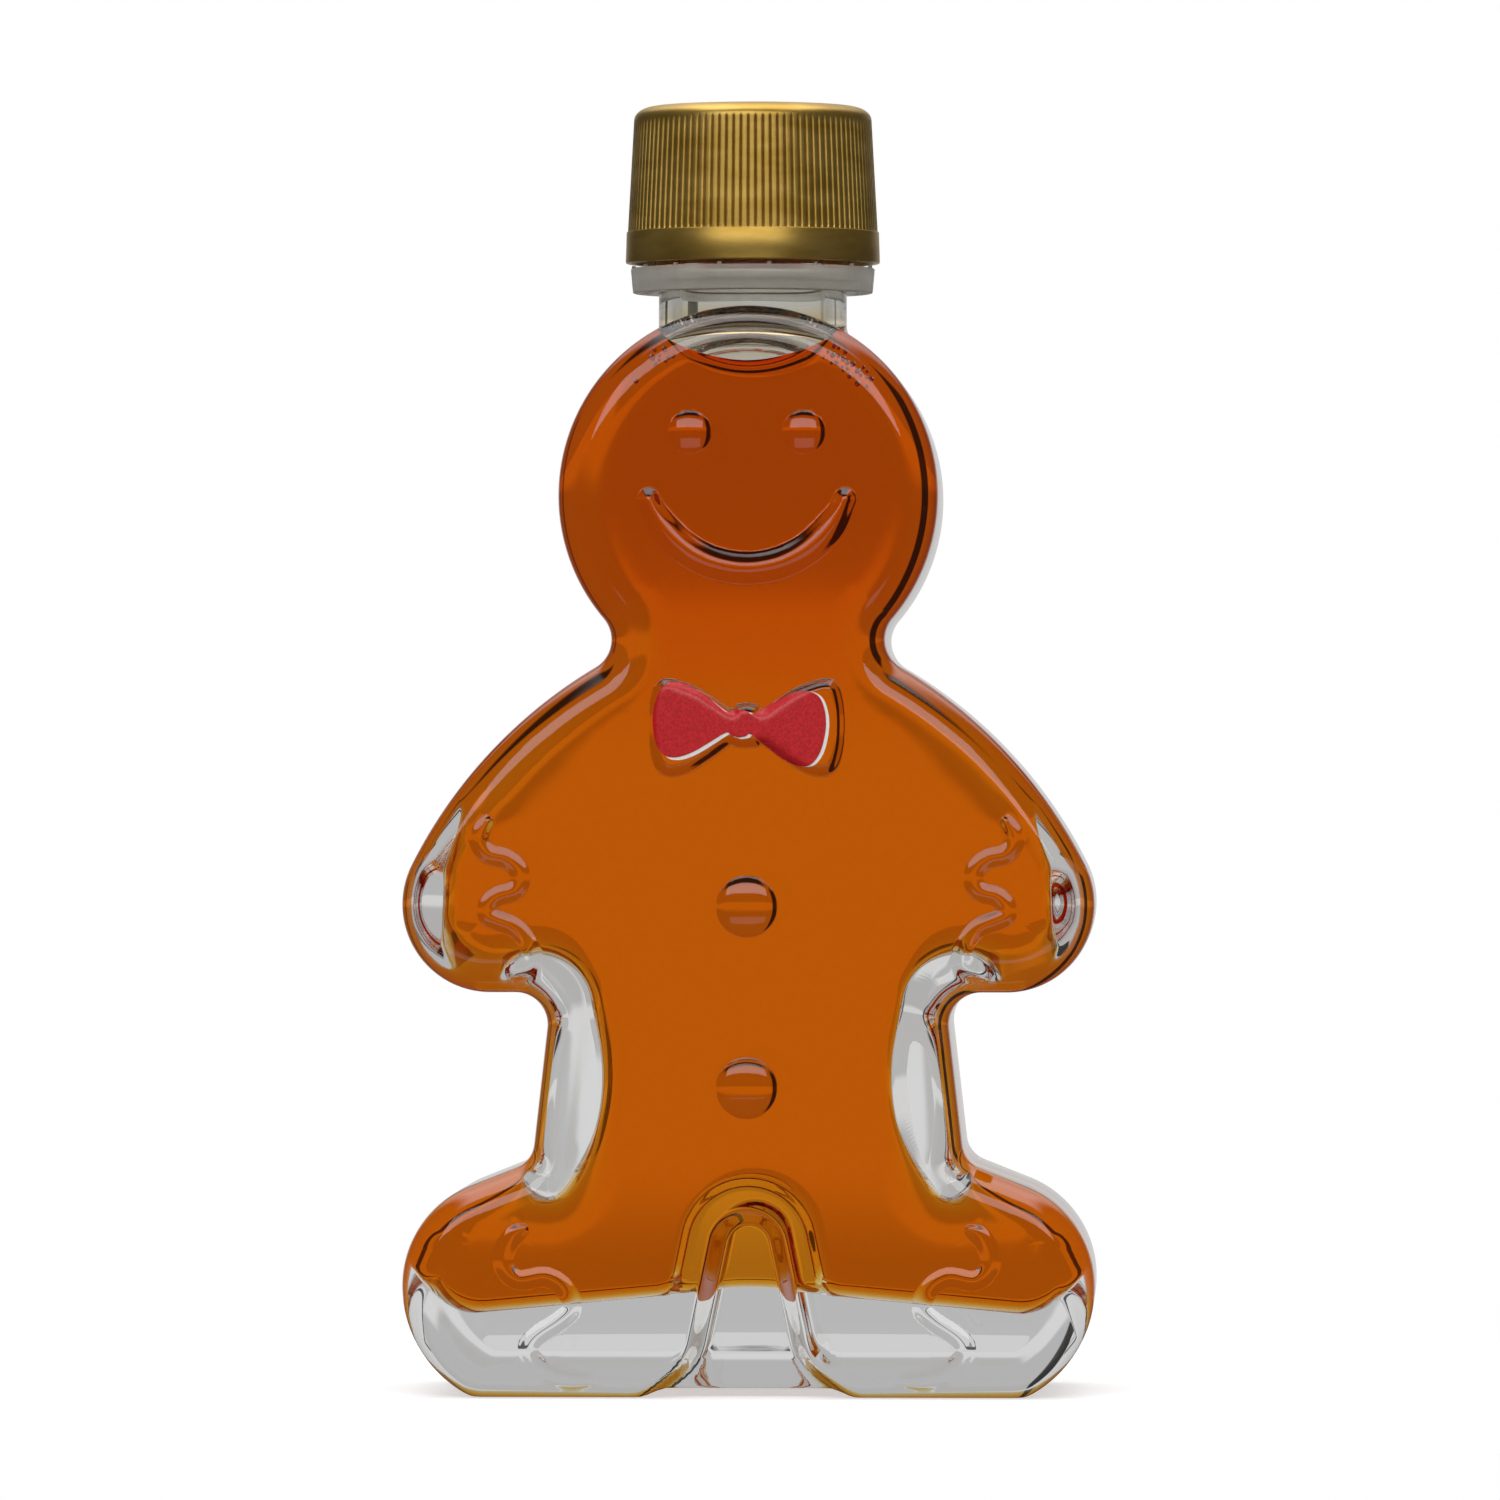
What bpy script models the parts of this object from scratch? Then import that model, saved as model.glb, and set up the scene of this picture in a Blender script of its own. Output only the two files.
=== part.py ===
"""A small glass syrup bottle in the shape of a gingerbread man, with a gold screw cap.

Metres, +Z up, the front faces -Y. The origin is on the floor under the bottle's middle.
"""

import math
from collections import namedtuple

import bmesh
import bpy
from mathutils import Vector

# Clearances
GAP = 0.0003
PRINT_GAP = 0.0001
PRINT_THICKNESS = 0.00015
BURIED = 0.0003

# The figure seen from the front: X from the middle, Z from the floor
HEAD_RADIUS = 0.02375
HEAD_Z = 0.1126
THROAT_RADIUS = 0.004
THROAT_DROP = 0.018
SHOULDER_RADIUS = 0.060
HAND_RADIUS = 0.011
HAND_REACH = 0.0433
HAND_Z = 0.0615
ARMPIT_RADIUS = 0.004
WAIST_REACH = 0.0251
ANKLE_RADIUS = 0.0035
ANKLE_REACH = 0.02675
ANKLE_RISE = 0.00115
FOOT_TOP_RADIUS = 0.0134
FOOT_REACH = 0.0433
FOOT_Z = 0.01385
SOLE_DIP = 0.00165
SOLE_CORNER = 0.003
SOLE_CUT = 0.0003

# The glass from front to back, and its walls
DEPTH = 0.040
BODY_EDGE = 0.0023
HEAD_EDGE = 0.0045
HEAD_EDGE_FROM_Z = 0.085
HEAD_EDGE_OVER = 0.015
FACE_WALL = 0.0033
HEAD_WALL = 0.0032
ARM_WALL = 0.0047
FOOT_WALL = 0.0052
BASE_WALL = 0.0120
CAVITY_EDGE = 0.003
CAVITY_CORNER = 0.004
EDGE_POWER = 3.0

# The recess between the legs, on the front and the back
NOTCH_TOP_RADIUS = 0.0065
NOTCH_TOP_Z = 0.0149
NOTCH_DEPTH = 0.005
NOTCH_DRAFT = 0.0008
NOTCH_WALL = 0.005
HEEL_RADIUS = 0.007
HEEL_X = 0.0146
HEEL_Z = 0.0074
WEB_LIFT = 0.001

# The neck and its finish: heights from the top of the head or down from the lip
LIP_RISE = 0.02275
LIP_ROUND = 0.0006
BORE_RADIUS = 0.0092
NECK_RADIUS = 0.011875
NECK_FLARE = 0.0028
NECK_FLARE_DROP = 0.00195
NECK_FLARE_ANGLE = math.radians(65)
BEAD_REACH = 0.0015
BEAD_HEIGHT = 0.0015
BEAD_SLOPE = 0.0007
FILL_DROP = 0.00455

# The screw thread, the same on the neck and in the cap
THREAD_ROOT = 0.0124
THREAD_DEPTH = 0.0011
THREAD_DROP = 0.0101
THREAD_PITCH = 0.004233
THREAD_TURNS = 1.75
THREAD_STEPS = 28
THREAD_BASE = 0.0017
THREAD_TOP = 0.0008
THREAD_RUN_IN = 4
THREAD_PLAY = 0.0003
CAP_THREAD_DEPTH = 0.00085

# The cap
CAP_HEIGHT = 0.0198
CAP_WALL = 0.0012
CAP_DRAFT = 0.00078
CAP_TOP_WALL = 0.0013
CAP_TOP_ROUND = 0.0026
CAP_TOP_DROP = 0.0017
SKIRT_HEIGHT = 0.0040
SKIRT_STEP = 0.00016
SKIRT_DRAFT = 0.00011
SKIRT_WALL = 0.0013
SKIRT_BORE_HEIGHT = 0.0030
RIB_COUNT = 102
RIB_HEIGHT = 0.00028
RIB_RUN_OUT = 0.0005
LINER_THICKNESS = 0.0010

# The tamper band
BAND_DROP = 0.0006
BAND_HEIGHT = 0.00315
BAND_WALL = 0.0009
BAND_DRAFT = 0.00025
BAND_PLAY = 0.0006
BAND_CATCH = 0.0006
BAND_LIP_HEIGHT = 0.0009
BRIDGE_COUNT = 15
BRIDGE_START = math.radians(16)
BRIDGE_WIDTH = 0.0006
BRIDGE_DEPTH = 0.0007

# Raised details on the front face: places from the middle, and from the head's middle or the floor
EYE_X = 0.0071
EYE_RISE = 0.00815
EYE_RADIUS = 0.0027
EYE_HEIGHT = 0.0011
SMILE_RISE = 0.0041
SMILE_RADIUS = 0.0141
SMILE_HALF_ANGLE = math.radians(70)
SMILE_WIDTH = 0.0032
SMILE_HEIGHT = 0.0009
BUTTON_ZS = (0.0613, 0.0387)
BUTTON_RADIUS = 0.0038
BUTTON_HEIGHT = 0.0011
CUFF_WIDTH = 0.0018
CUFF_HEIGHT = 0.0006
WRIST_TOP = (0.0319, 0.0718)
WRIST_TURNS = ((0.0330, 0.0692), (0.0279, 0.0657), (0.0317, 0.0611), (0.0262, 0.0553))
WRIST_END = (0.0292, 0.0527)
ANKLE_TOP = (0.0286, 0.0199)
ANKLE_TURNS = ((0.0309, 0.0176), (0.0216, 0.0112), (0.0273, 0.0052))
ANKLE_END = (0.0191, 0.0025)

# The bow tie: its raised plate as rounds about the knot, and the print on it
TIE_Z = 0.0841
TIE_RISE = 0.0009
TIE_EDGE = 0.0004
TIE_KNOT_RADIUS = 0.0027
TIE_PINCH_RADIUS = 0.0006
TIE_PINCH_X = 0.0033
TIE_PINCH_Z = 0.0029
TIE_CORNER_RADIUS = 0.0012
TIE_CORNER_X = 0.0097
TIE_CORNER_Z = 0.0048
TIE_SIDE_RADIUS = 0.0015
TIE_SIDE_X = 0.0106
TIE_PRINT_INSET = 0.0012
TIE_PRINT_SHIFT = (-0.0003, 0.0002)

# How finely round stretches are drawn
CHORD = 0.0032
CHORD_ANGLE = math.radians(24)
EDGE_STEPS = 3
TURNED_STEPS = 48

# What follows from the sizes above
FRONT = -DEPTH / 2
HEAD_TOP_Z = HEAD_Z + HEAD_RADIUS
LIP_Z = HEAD_TOP_Z + LIP_RISE
CAP_ROOF_Z = LIP_Z + GAP + LINER_THICKNESS + GAP
CAP_TOP_Z = CAP_ROOF_Z + CAP_TOP_WALL
SKIRT_Z = CAP_TOP_Z - CAP_HEIGHT
BAND_TOP_Z = SKIRT_Z - BAND_DROP
BAND_BOTTOM_Z = BAND_TOP_Z - BAND_HEIGHT
BAND_LIP_Z = BAND_BOTTOM_Z + BAND_LIP_HEIGHT
BEAD_Z = BAND_LIP_Z + GAP
THREAD_Z = LIP_Z - THREAD_DROP
BEAD_RADIUS = THREAD_ROOT + BEAD_REACH
BAND_BORE = BEAD_RADIUS + BAND_PLAY
CAP_BORE = THREAD_ROOT + THREAD_DEPTH + THREAD_PLAY
RIB_TOP_RADIUS = CAP_BORE + CAP_WALL
RIB_BOTTOM_RADIUS = RIB_TOP_RADIUS + CAP_DRAFT
SKIRT_TOP_RADIUS = RIB_BOTTOM_RADIUS + SKIRT_STEP
SKIRT_RADIUS = SKIRT_TOP_RADIUS + SKIRT_DRAFT

Round = namedtuple("Round", "x z radius")


def start_scene():
    """An empty scene with a collection for the bottle and one for the shapes that cut or join."""
    for old in list(bpy.data.objects):
        bpy.data.objects.remove(old)
    homes = []
    for name in ("syrup_bottle", "cutters_and_details"):
        home = bpy.data.collections.new(name)
        bpy.context.scene.collection.children.link(home)
        homes.append(home)
    return homes


PARTS, HELPERS = start_scene()


def group(name):
    """A collection of helpers that one Boolean takes together."""
    made = bpy.data.collections.new(name)
    HELPERS.children.link(made)
    return made


def add(name, mesh_or_curve, home):
    """A named object in its collection. What isn't a part is drawn as a wire and left out of renders."""
    made = bpy.data.objects.new(name, mesh_or_curve)
    home.objects.link(made)
    if home is not PARTS:
        made.hide_render = True
        made.display_type = "WIRE"
    return made


def mesh_of(name, shape, sharp=math.radians(35)):
    """A mesh from a bmesh, its faces pointing out, shaded smooth up to the sharp angle."""
    bmesh.ops.recalc_face_normals(shape, faces=shape.faces)
    mesh = bpy.data.meshes.new(name)
    shape.to_mesh(mesh)
    shape.free()
    mesh.shade_smooth()
    mesh.set_sharp_from_angle(angle=sharp)
    return mesh


def paint(part, color, roughness, metallic=0.0, transmission=0.0):
    """The part's own Principled material."""
    made = bpy.data.materials.new(part.name)
    made.use_nodes = True
    made.diffuse_color = color
    shader = made.node_tree.nodes["Principled BSDF"]
    shader.inputs["Base Color"].default_value = color
    shader.inputs["Roughness"].default_value = roughness
    shader.inputs["Metallic"].default_value = metallic
    shader.inputs["Transmission Weight"].default_value = transmission
    part.data.materials.append(made)


def boolean(part, operation, helpers):
    """Joins, cuts or keeps the part with every shape of a collection."""
    step = part.modifiers.new(helpers.name, "BOOLEAN")
    step.operation = operation
    step.solver = "EXACT"
    step.operand_type = "COLLECTION"
    step.collection = helpers


def loft(name, sections, home):
    """A closed solid through sections that have as many points each."""
    shape = bmesh.new()
    rings = [[shape.verts.new(point) for point in section] for section in sections]
    for low, high in zip(rings, rings[1:]):
        for i in range(len(low)):
            j = (i + 1) % len(low)
            shape.faces.new((low[i], low[j], high[j], high[i]))
    shape.faces.new(rings[0])
    shape.faces.new(rings[-1])
    return add(name, mesh_of(name, shape), home)


def turned(name, profile, home, closed=False):
    """A profile of (radius, z), run from top to bottom on its outer side, turned about Z."""
    shape = bmesh.new()
    points = [shape.verts.new((radius, 0, z)) for radius, z in profile]
    for a, b in zip(points, points[1:]):
        shape.edges.new((a, b))
    if closed:
        shape.edges.new((points[-1], points[0]))
    mesh = bpy.data.meshes.new(name)
    shape.to_mesh(mesh)
    shape.free()
    part = add(name, mesh, home)
    spin = part.modifiers.new("turn", "SCREW")
    spin.axis = "Z"
    spin.steps = TURNED_STEPS
    spin.render_steps = TURNED_STEPS
    spin.use_merge_vertices = True
    spin.merge_threshold = 0.00001
    spin.use_smooth_shade = True
    return part


def box(name, low, high, home):
    """A box between two corners."""
    shape = bmesh.new()
    bmesh.ops.create_cube(shape, size=1)
    for vert in shape.verts:
        for axis in range(3):
            share = vert.co[axis] + 0.5
            vert.co[axis] = low[axis] + (high[axis] - low[axis]) * share
    return add(name, mesh_of(name, shape), home)


def dome(name, x, z, radius, height, home):
    """A round dome on the front face, half of it inside the glass."""
    shape = bmesh.new()
    bmesh.ops.create_uvsphere(shape, u_segments=20, v_segments=8, radius=1)
    for vert in shape.verts:
        across, deep, up = vert.co.x, vert.co.z, vert.co.y
        vert.co = (x + radius * across, FRONT + height * deep, z + radius * up)
    return add(name, mesh_of(name, shape), home)


def belt(rounds):
    """Points and outward normals of a right half outline, bottom middle to top middle.

    It runs like a belt round the circles. A positive radius bulges out, a negative one is a hollow.
    """
    normals = [Vector((0, -1))]
    for a, b in zip(rounds, rounds[1:]):
        step = Vector((b.x - a.x, b.z - a.z))
        along = step.normalized()
        turn = max(-1.0, min(1.0, (a.radius - b.radius) / step.length))
        right = Vector((along.y, -along.x))
        normals.append(along * turn + right * math.sqrt(1 - turn * turn))
    normals.append(Vector((0, 1)))
    points = []
    for spot, start, end in zip(rounds, normals, normals[1:]):
        first = math.atan2(start.y, start.x)
        sweep = math.atan2(end.y, end.x) - first
        slack = 0.001 if spot.radius > 0 else -0.001
        while (sweep + slack) * spot.radius < 0:
            sweep += math.copysign(2 * math.pi, spot.radius)
        length = abs(sweep * spot.radius)
        steps = max(1, math.ceil(length / CHORD), math.ceil(abs(sweep) / CHORD_ANGLE))
        for k in range(steps + 1):
            angle = first + sweep * k / steps
            normal = Vector((math.cos(angle), math.sin(angle)))
            point = Vector((spot.x, spot.z)) + normal * spot.radius
            if not points or (point - points[-1][0]).length > CHORD / 50:
                points.append((point, normal))
    return points


def section(rounds, y, inset):
    """The whole closed outline at this depth, drawn in by inset(z), its left half a mirror of the right."""
    right = []
    left = []
    for point, normal in belt(rounds):
        drawn = point - normal * inset(point.y)
        right.append((drawn.x, y, drawn.y))
        if point.x > CHORD / 50:
            left.append((-drawn.x, y, drawn.y))
    return right + left[::-1]


def slab(name, rounds, half_depth, edge, home):
    """A thick plate of the outline, its edge curved from the middle plane in to both faces."""
    sections = []
    for k in range(-EDGE_STEPS, EDGE_STEPS + 1):
        turn = abs(k) / EDGE_STEPS * math.pi / 2
        y = math.copysign(half_depth * math.sin(turn) ** (2 / EDGE_POWER), k)
        share = 1 - abs(math.cos(turn)) ** (2 / EDGE_POWER)
        sections.append(section(rounds, y, lambda z: edge(z) * share))
    return loft(name, sections, home)


def plate(name, rounds, layers, home):
    """A solid through copies of the outline, each at (y, inset)."""
    return loft(name, [section(rounds, y, lambda z: inset) for y, inset in layers], home)


def nested(outer, radius, z):
    """A smaller round at height z that touches the outer one from inside, on its right."""
    reach = outer.radius - radius
    rise = z - outer.z
    return Round(outer.x + math.sqrt(max(reach * reach - rise * rise, 0.0)), z, radius)


def between(low, from_low, high, from_high):
    """The point at these distances from the middles of two rounds, on their left."""
    step = Vector((high.x - low.x, high.z - low.z))
    apart = step.length
    along = (from_low * from_low - from_high * from_high + apart * apart) / (2 * apart)
    aside = math.sqrt(max(from_low * from_low - along * along, 0.0))
    forward = step / apart
    left = Vector((-forward.y, forward.x))
    return Vector((low.x, low.z)) + forward * along + left * aside


def figure_above_the_foot(head_wall, arm_wall, foot_wall):
    """The rounds from the foot's top up to the head, drawn in by the walls."""
    foot = Round(FOOT_REACH - FOOT_TOP_RADIUS, FOOT_Z, FOOT_TOP_RADIUS - foot_wall)
    ankle_z = FOOT_Z + FOOT_TOP_RADIUS + ANKLE_RISE + ANKLE_RADIUS
    ankle = Round(ANKLE_REACH + ANKLE_RADIUS, ankle_z, -(ANKLE_RADIUS + foot_wall))
    armpit_z = HAND_Z - HAND_RADIUS - ARMPIT_RADIUS
    armpit = Round(WAIST_REACH + ARMPIT_RADIUS, armpit_z, -(ARMPIT_RADIUS + arm_wall))
    hand = Round(HAND_REACH - HAND_RADIUS, HAND_Z, HAND_RADIUS - arm_wall)
    apart = HEAD_RADIUS + THROAT_RADIUS
    throat_x = math.sqrt(max(apart * apart - THROAT_DROP * THROAT_DROP, 0.0))
    throat = Round(throat_x, HEAD_Z - THROAT_DROP, -(THROAT_RADIUS + head_wall))
    middle = between(hand, SHOULDER_RADIUS - HAND_RADIUS, throat, SHOULDER_RADIUS + THROAT_RADIUS)
    shoulder = Round(middle.x, middle.y, SHOULDER_RADIUS - arm_wall)
    head = Round(0.0, HEAD_Z, HEAD_RADIUS - head_wall)
    return [foot, ankle, armpit, hand, shoulder, throat, head]


def outer_rounds():
    """The outside of the glass."""
    sole_radius = FOOT_Z + SOLE_DIP
    sole = Round(FOOT_REACH - sole_radius, FOOT_Z, sole_radius)
    corner = nested(sole, SOLE_CORNER, SOLE_CORNER - SOLE_CUT)
    return [corner, sole] + figure_above_the_foot(0.0, 0.0, 0.0)


def inner_rounds(clearance):
    """The hollow inside the glass, or what fills it with this clearance all round."""
    walls = [wall + clearance for wall in (HEAD_WALL, ARM_WALL, FOOT_WALL)]
    above = figure_above_the_foot(*walls)
    corner_z = BASE_WALL + clearance + CAVITY_CORNER
    return [nested(above[0], CAVITY_CORNER, corner_z)] + above


def notch_rounds():
    """The recess between the legs, an arch that spreads over the heels."""
    foot_side = Round(HEEL_X + GAP, -WEB_LIFT, WEB_LIFT / 2)
    heel = Round(HEEL_X, HEEL_Z, -HEEL_RADIUS)
    return [foot_side, heel, Round(0.0, NOTCH_TOP_Z, NOTCH_TOP_RADIUS)]


def tie_rounds():
    """The bow tie about its knot: knot, pinch, lower corner, side, upper corner, pinch, knot."""
    knot = Round(0.0, TIE_Z, TIE_KNOT_RADIUS)
    low_pinch = Round(TIE_PINCH_X, TIE_Z - TIE_PINCH_Z, -TIE_PINCH_RADIUS)
    low_corner = Round(TIE_CORNER_X, TIE_Z - TIE_CORNER_Z, TIE_CORNER_RADIUS)
    side = Round(TIE_SIDE_X, TIE_Z, TIE_SIDE_RADIUS)
    high_corner = Round(TIE_CORNER_X, TIE_Z + TIE_CORNER_Z, TIE_CORNER_RADIUS)
    high_pinch = Round(TIE_PINCH_X, TIE_Z + TIE_PINCH_Z, -TIE_PINCH_RADIUS)
    return [knot, low_pinch, low_corner, side, high_corner, high_pinch, knot]


def body_edge(z):
    """How far the outside is drawn in at its faces: more on the head than on the body."""
    share = min(1.0, max(0.0, (z - HEAD_EDGE_FROM_Z) / HEAD_EDGE_OVER))
    eased = share * share * (3 - 2 * share)
    return BODY_EDGE + (HEAD_EDGE - BODY_EDGE) * eased


def ridge(name, path, width, height, home, end_share=0.45):
    """A rounded ridge on the front face along points of (x, z), slimmer at its two ends."""
    half = width / 2
    radius = (half * half + height * height) / (2 * height)
    curve = bpy.data.curves.new(name, "CURVE")
    curve.dimensions = "3D"
    curve.bevel_depth = radius
    curve.bevel_resolution = 3
    curve.use_fill_caps = True
    spline = curve.splines.new("POLY")
    spline.points.add(len(path) - 1)
    for k, (x, z) in enumerate(path):
        from_end = min(k, len(path) - 1 - k)
        share = min(1.0, end_share + (1 - end_share) * from_end / 2)
        sink = (radius - height) * share
        spline.points[k].co = (x, FRONT + sink, z, 1)
        spline.points[k].radius = share
    drawn = add(name + "_path", curve, home)
    bpy.context.view_layer.update()
    seen = drawn.evaluated_get(bpy.context.evaluated_depsgraph_get())
    mesh = bpy.data.meshes.new_from_object(seen)
    shape = bmesh.new()
    shape.from_mesh(mesh)
    bmesh.ops.remove_doubles(shape, verts=shape.verts, dist=0.00001)
    made = add(name, mesh_of(name, shape), home)
    made.matrix_world = drawn.matrix_world
    bpy.data.objects.remove(drawn)
    return made


def wavy_path(top, turns, end, side):
    """A wave down the front face that swings from turn to turn, on the right (1) or the left (-1)."""
    stops = [top, *turns, end]
    path = []
    for (x, z), (next_x, next_z) in zip(stops, stops[1:]):
        steps = max(2, round(abs(next_x - x) / CUFF_WIDTH * 2))
        for k in range(steps):
            share = k / steps
            swing = (1 - math.cos(math.pi * share)) / 2
            path.append((side * (x + (next_x - x) * swing), z + (next_z - z) * share))
    path.append((side * end[0], end[1]))
    return path


def raised_details(home):
    """Eyes, mouth, bow tie plate, buttons, wrist and ankle bands, all part of the glass."""
    for side, word in ((-1, "left"), (1, "right")):
        dome(f"{word}_eye", side * EYE_X, HEAD_Z + EYE_RISE, EYE_RADIUS, EYE_HEIGHT, home)
        wrist = wavy_path(WRIST_TOP, WRIST_TURNS, WRIST_END, side)
        ridge(f"{word}_wrist_band", wrist, CUFF_WIDTH, CUFF_HEIGHT, home)
        ankle = wavy_path(ANKLE_TOP, ANKLE_TURNS, ANKLE_END, side)
        ridge(f"{word}_ankle_band", ankle, CUFF_WIDTH, CUFF_HEIGHT, home)
    for number, z in enumerate(BUTTON_ZS):
        dome(f"button_{number}", 0.0, z, BUTTON_RADIUS, BUTTON_HEIGHT, home)
    count = 18
    smile = []
    for k in range(count + 1):
        angle = -math.pi / 2 + SMILE_HALF_ANGLE * (2 * k / count - 1)
        z = HEAD_Z + SMILE_RISE + SMILE_RADIUS * math.sin(angle)
        smile.append((SMILE_RADIUS * math.cos(angle), z))
    ridge("smile", smile, SMILE_WIDTH, SMILE_HEIGHT, home)
    layers = [
        (FRONT + TIE_RISE, 0.0),
        (FRONT - TIE_RISE + TIE_EDGE, 0.0),
        (FRONT - TIE_RISE, TIE_EDGE),
    ]
    plate("tie_plate", tie_rounds(), layers, home)


def thread(name, buried_radius, crest_radius, first_z, home):
    """A screw ridge between two radii. It rises out of its wall at both ends."""
    last = round(THREAD_TURNS * THREAD_STEPS)
    sections = []
    for k in range(last + 1):
        angle = 2 * math.pi * k / THREAD_STEPS
        middle = first_z + THREAD_PITCH * k / THREAD_STEPS
        rise = min(1.0, (k + 1) / THREAD_RUN_IN, (last - k + 1) / THREAD_RUN_IN)
        crest = buried_radius + (crest_radius - buried_radius) * rise
        corners = (
            (buried_radius, -THREAD_BASE / 2),
            (crest, -THREAD_TOP / 2),
            (crest, THREAD_TOP / 2),
            (buried_radius, THREAD_BASE / 2),
        )
        ring = [(r * math.cos(angle), r * math.sin(angle), middle + up) for r, up in corners]
        sections.append(ring)
    return loft(name, sections, home)


def neck(home):
    """The neck from inside the head up to the lip, still solid."""
    flare_z = HEAD_TOP_Z - NECK_FLARE_DROP
    foot_z = HEAD_Z + HEAD_RADIUS / 2
    profile = [
        (0.0, LIP_Z),
        (THREAD_ROOT - LIP_ROUND, LIP_Z),
        (THREAD_ROOT, LIP_Z - LIP_ROUND),
        (THREAD_ROOT, BEAD_Z + BEAD_HEIGHT + BEAD_SLOPE),
        (BEAD_RADIUS, BEAD_Z + BEAD_HEIGHT),
        (BEAD_RADIUS, BEAD_Z),
        (NECK_RADIUS, BEAD_Z),
        (NECK_RADIUS, flare_z),
    ]
    for k in range(1, 4):
        turn = NECK_FLARE_ANGLE * k / 3
        out = NECK_RADIUS + NECK_FLARE * (1 - math.cos(turn))
        profile.append((out, flare_z - NECK_FLARE * math.sin(turn)))
    profile.append((NECK_RADIUS, foot_z))
    profile.append((0.0, foot_z))
    turned("neck", profile, home)


def hollow(name, clearance, home):
    """The cavity's shape: the figure drawn in, less the walls of the leg recess, with the neck's bore."""
    walls = group(name + "_web_walls")
    grown = NOTCH_WALL + clearance
    inner_face = DEPTH / 2 - NOTCH_DEPTH - FACE_WALL - clearance
    for side, word in ((-1, "front"), (1, "back")):
        layers = [
            (side * DEPTH / 2, -grown - NOTCH_DRAFT),
            (side * (inner_face + NOTCH_DRAFT), -grown),
            (side * inner_face, NOTCH_DRAFT - grown),
        ]
        plate(f"{name}_{word}_web_wall", notch_rounds(), layers, walls)
    half_depth = DEPTH / 2 - FACE_WALL - clearance
    made = slab(name, inner_rounds(clearance), half_depth, lambda z: CAVITY_EDGE, home)
    boolean(made, "DIFFERENCE", walls)
    throat = group(name + "_throat")
    radius = BORE_RADIUS - clearance
    bore = [(0.0, LIP_Z + GAP), (radius, LIP_Z + GAP), (radius, HEAD_Z), (0.0, HEAD_Z)]
    turned(name + "_bore", bore, throat)
    boolean(made, "UNION", throat)
    return made


def bottle_glass():
    """The glass: the figure, its raised details, the neck and its thread, less the hollow and the notch."""
    glass = slab("bottle_glass", outer_rounds(), DEPTH / 2, body_edge, PARTS)
    joined = group("joined_to_glass")
    neck(joined)
    raised_details(joined)
    thread("neck_thread", THREAD_ROOT - BURIED, THREAD_ROOT + THREAD_DEPTH, THREAD_Z, joined)
    boolean(glass, "UNION", joined)
    cut = group("cut_from_glass")
    hollow("cavity", 0.0, cut)
    for side, word in ((-1, "front"), (1, "back")):
        floor_of_notch = DEPTH / 2 - NOTCH_DEPTH
        layers = [
            (side * (DEPTH / 2 + WEB_LIFT), -NOTCH_DRAFT),
            (side * (floor_of_notch + NOTCH_DRAFT), 0.0),
            (side * floor_of_notch, NOTCH_DRAFT),
        ]
        plate(f"{word}_notch", notch_rounds(), layers, cut)
    box("under_the_web", (-HEEL_X, -DEPTH, -WEB_LIFT), (HEEL_X, DEPTH, WEB_LIFT), cut)
    boolean(glass, "DIFFERENCE", cut)
    floor = group("floor")
    box("under_the_soles", (-2 * FOOT_REACH, -DEPTH, -DEPTH), (2 * FOOT_REACH, DEPTH, 0.0), floor)
    boolean(glass, "DIFFERENCE", floor)
    paint(glass, (0.75, 0.77, 0.73, 1), 0.03, transmission=1.0)


def syrup():
    """The filling: the hollow's shape with a clearance, up to the fill level."""
    filling = hollow("syrup", GAP, PARTS)
    air = group("above_the_filling")
    reach = HEAD_RADIUS + DEPTH
    fill_z = HEAD_TOP_Z - FILL_DROP
    box("headspace", (-reach, -reach, fill_z), (reach, reach, LIP_Z + reach), air)
    boolean(filling, "DIFFERENCE", air)
    paint(filling, (0.45, 0.10, 0.005, 1), 0.05, transmission=0.6)


def cap_ring(z, crest, valley=None):
    """A ring of the cap with a point for each rib's crest and one for each groove."""
    points = []
    for k in range(2 * RIB_COUNT):
        angle = math.pi * k / RIB_COUNT
        radius = crest if valley is None or k % 2 == 0 else valley
        points.append((radius * math.cos(angle), radius * math.sin(angle), z))
    return points


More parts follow.
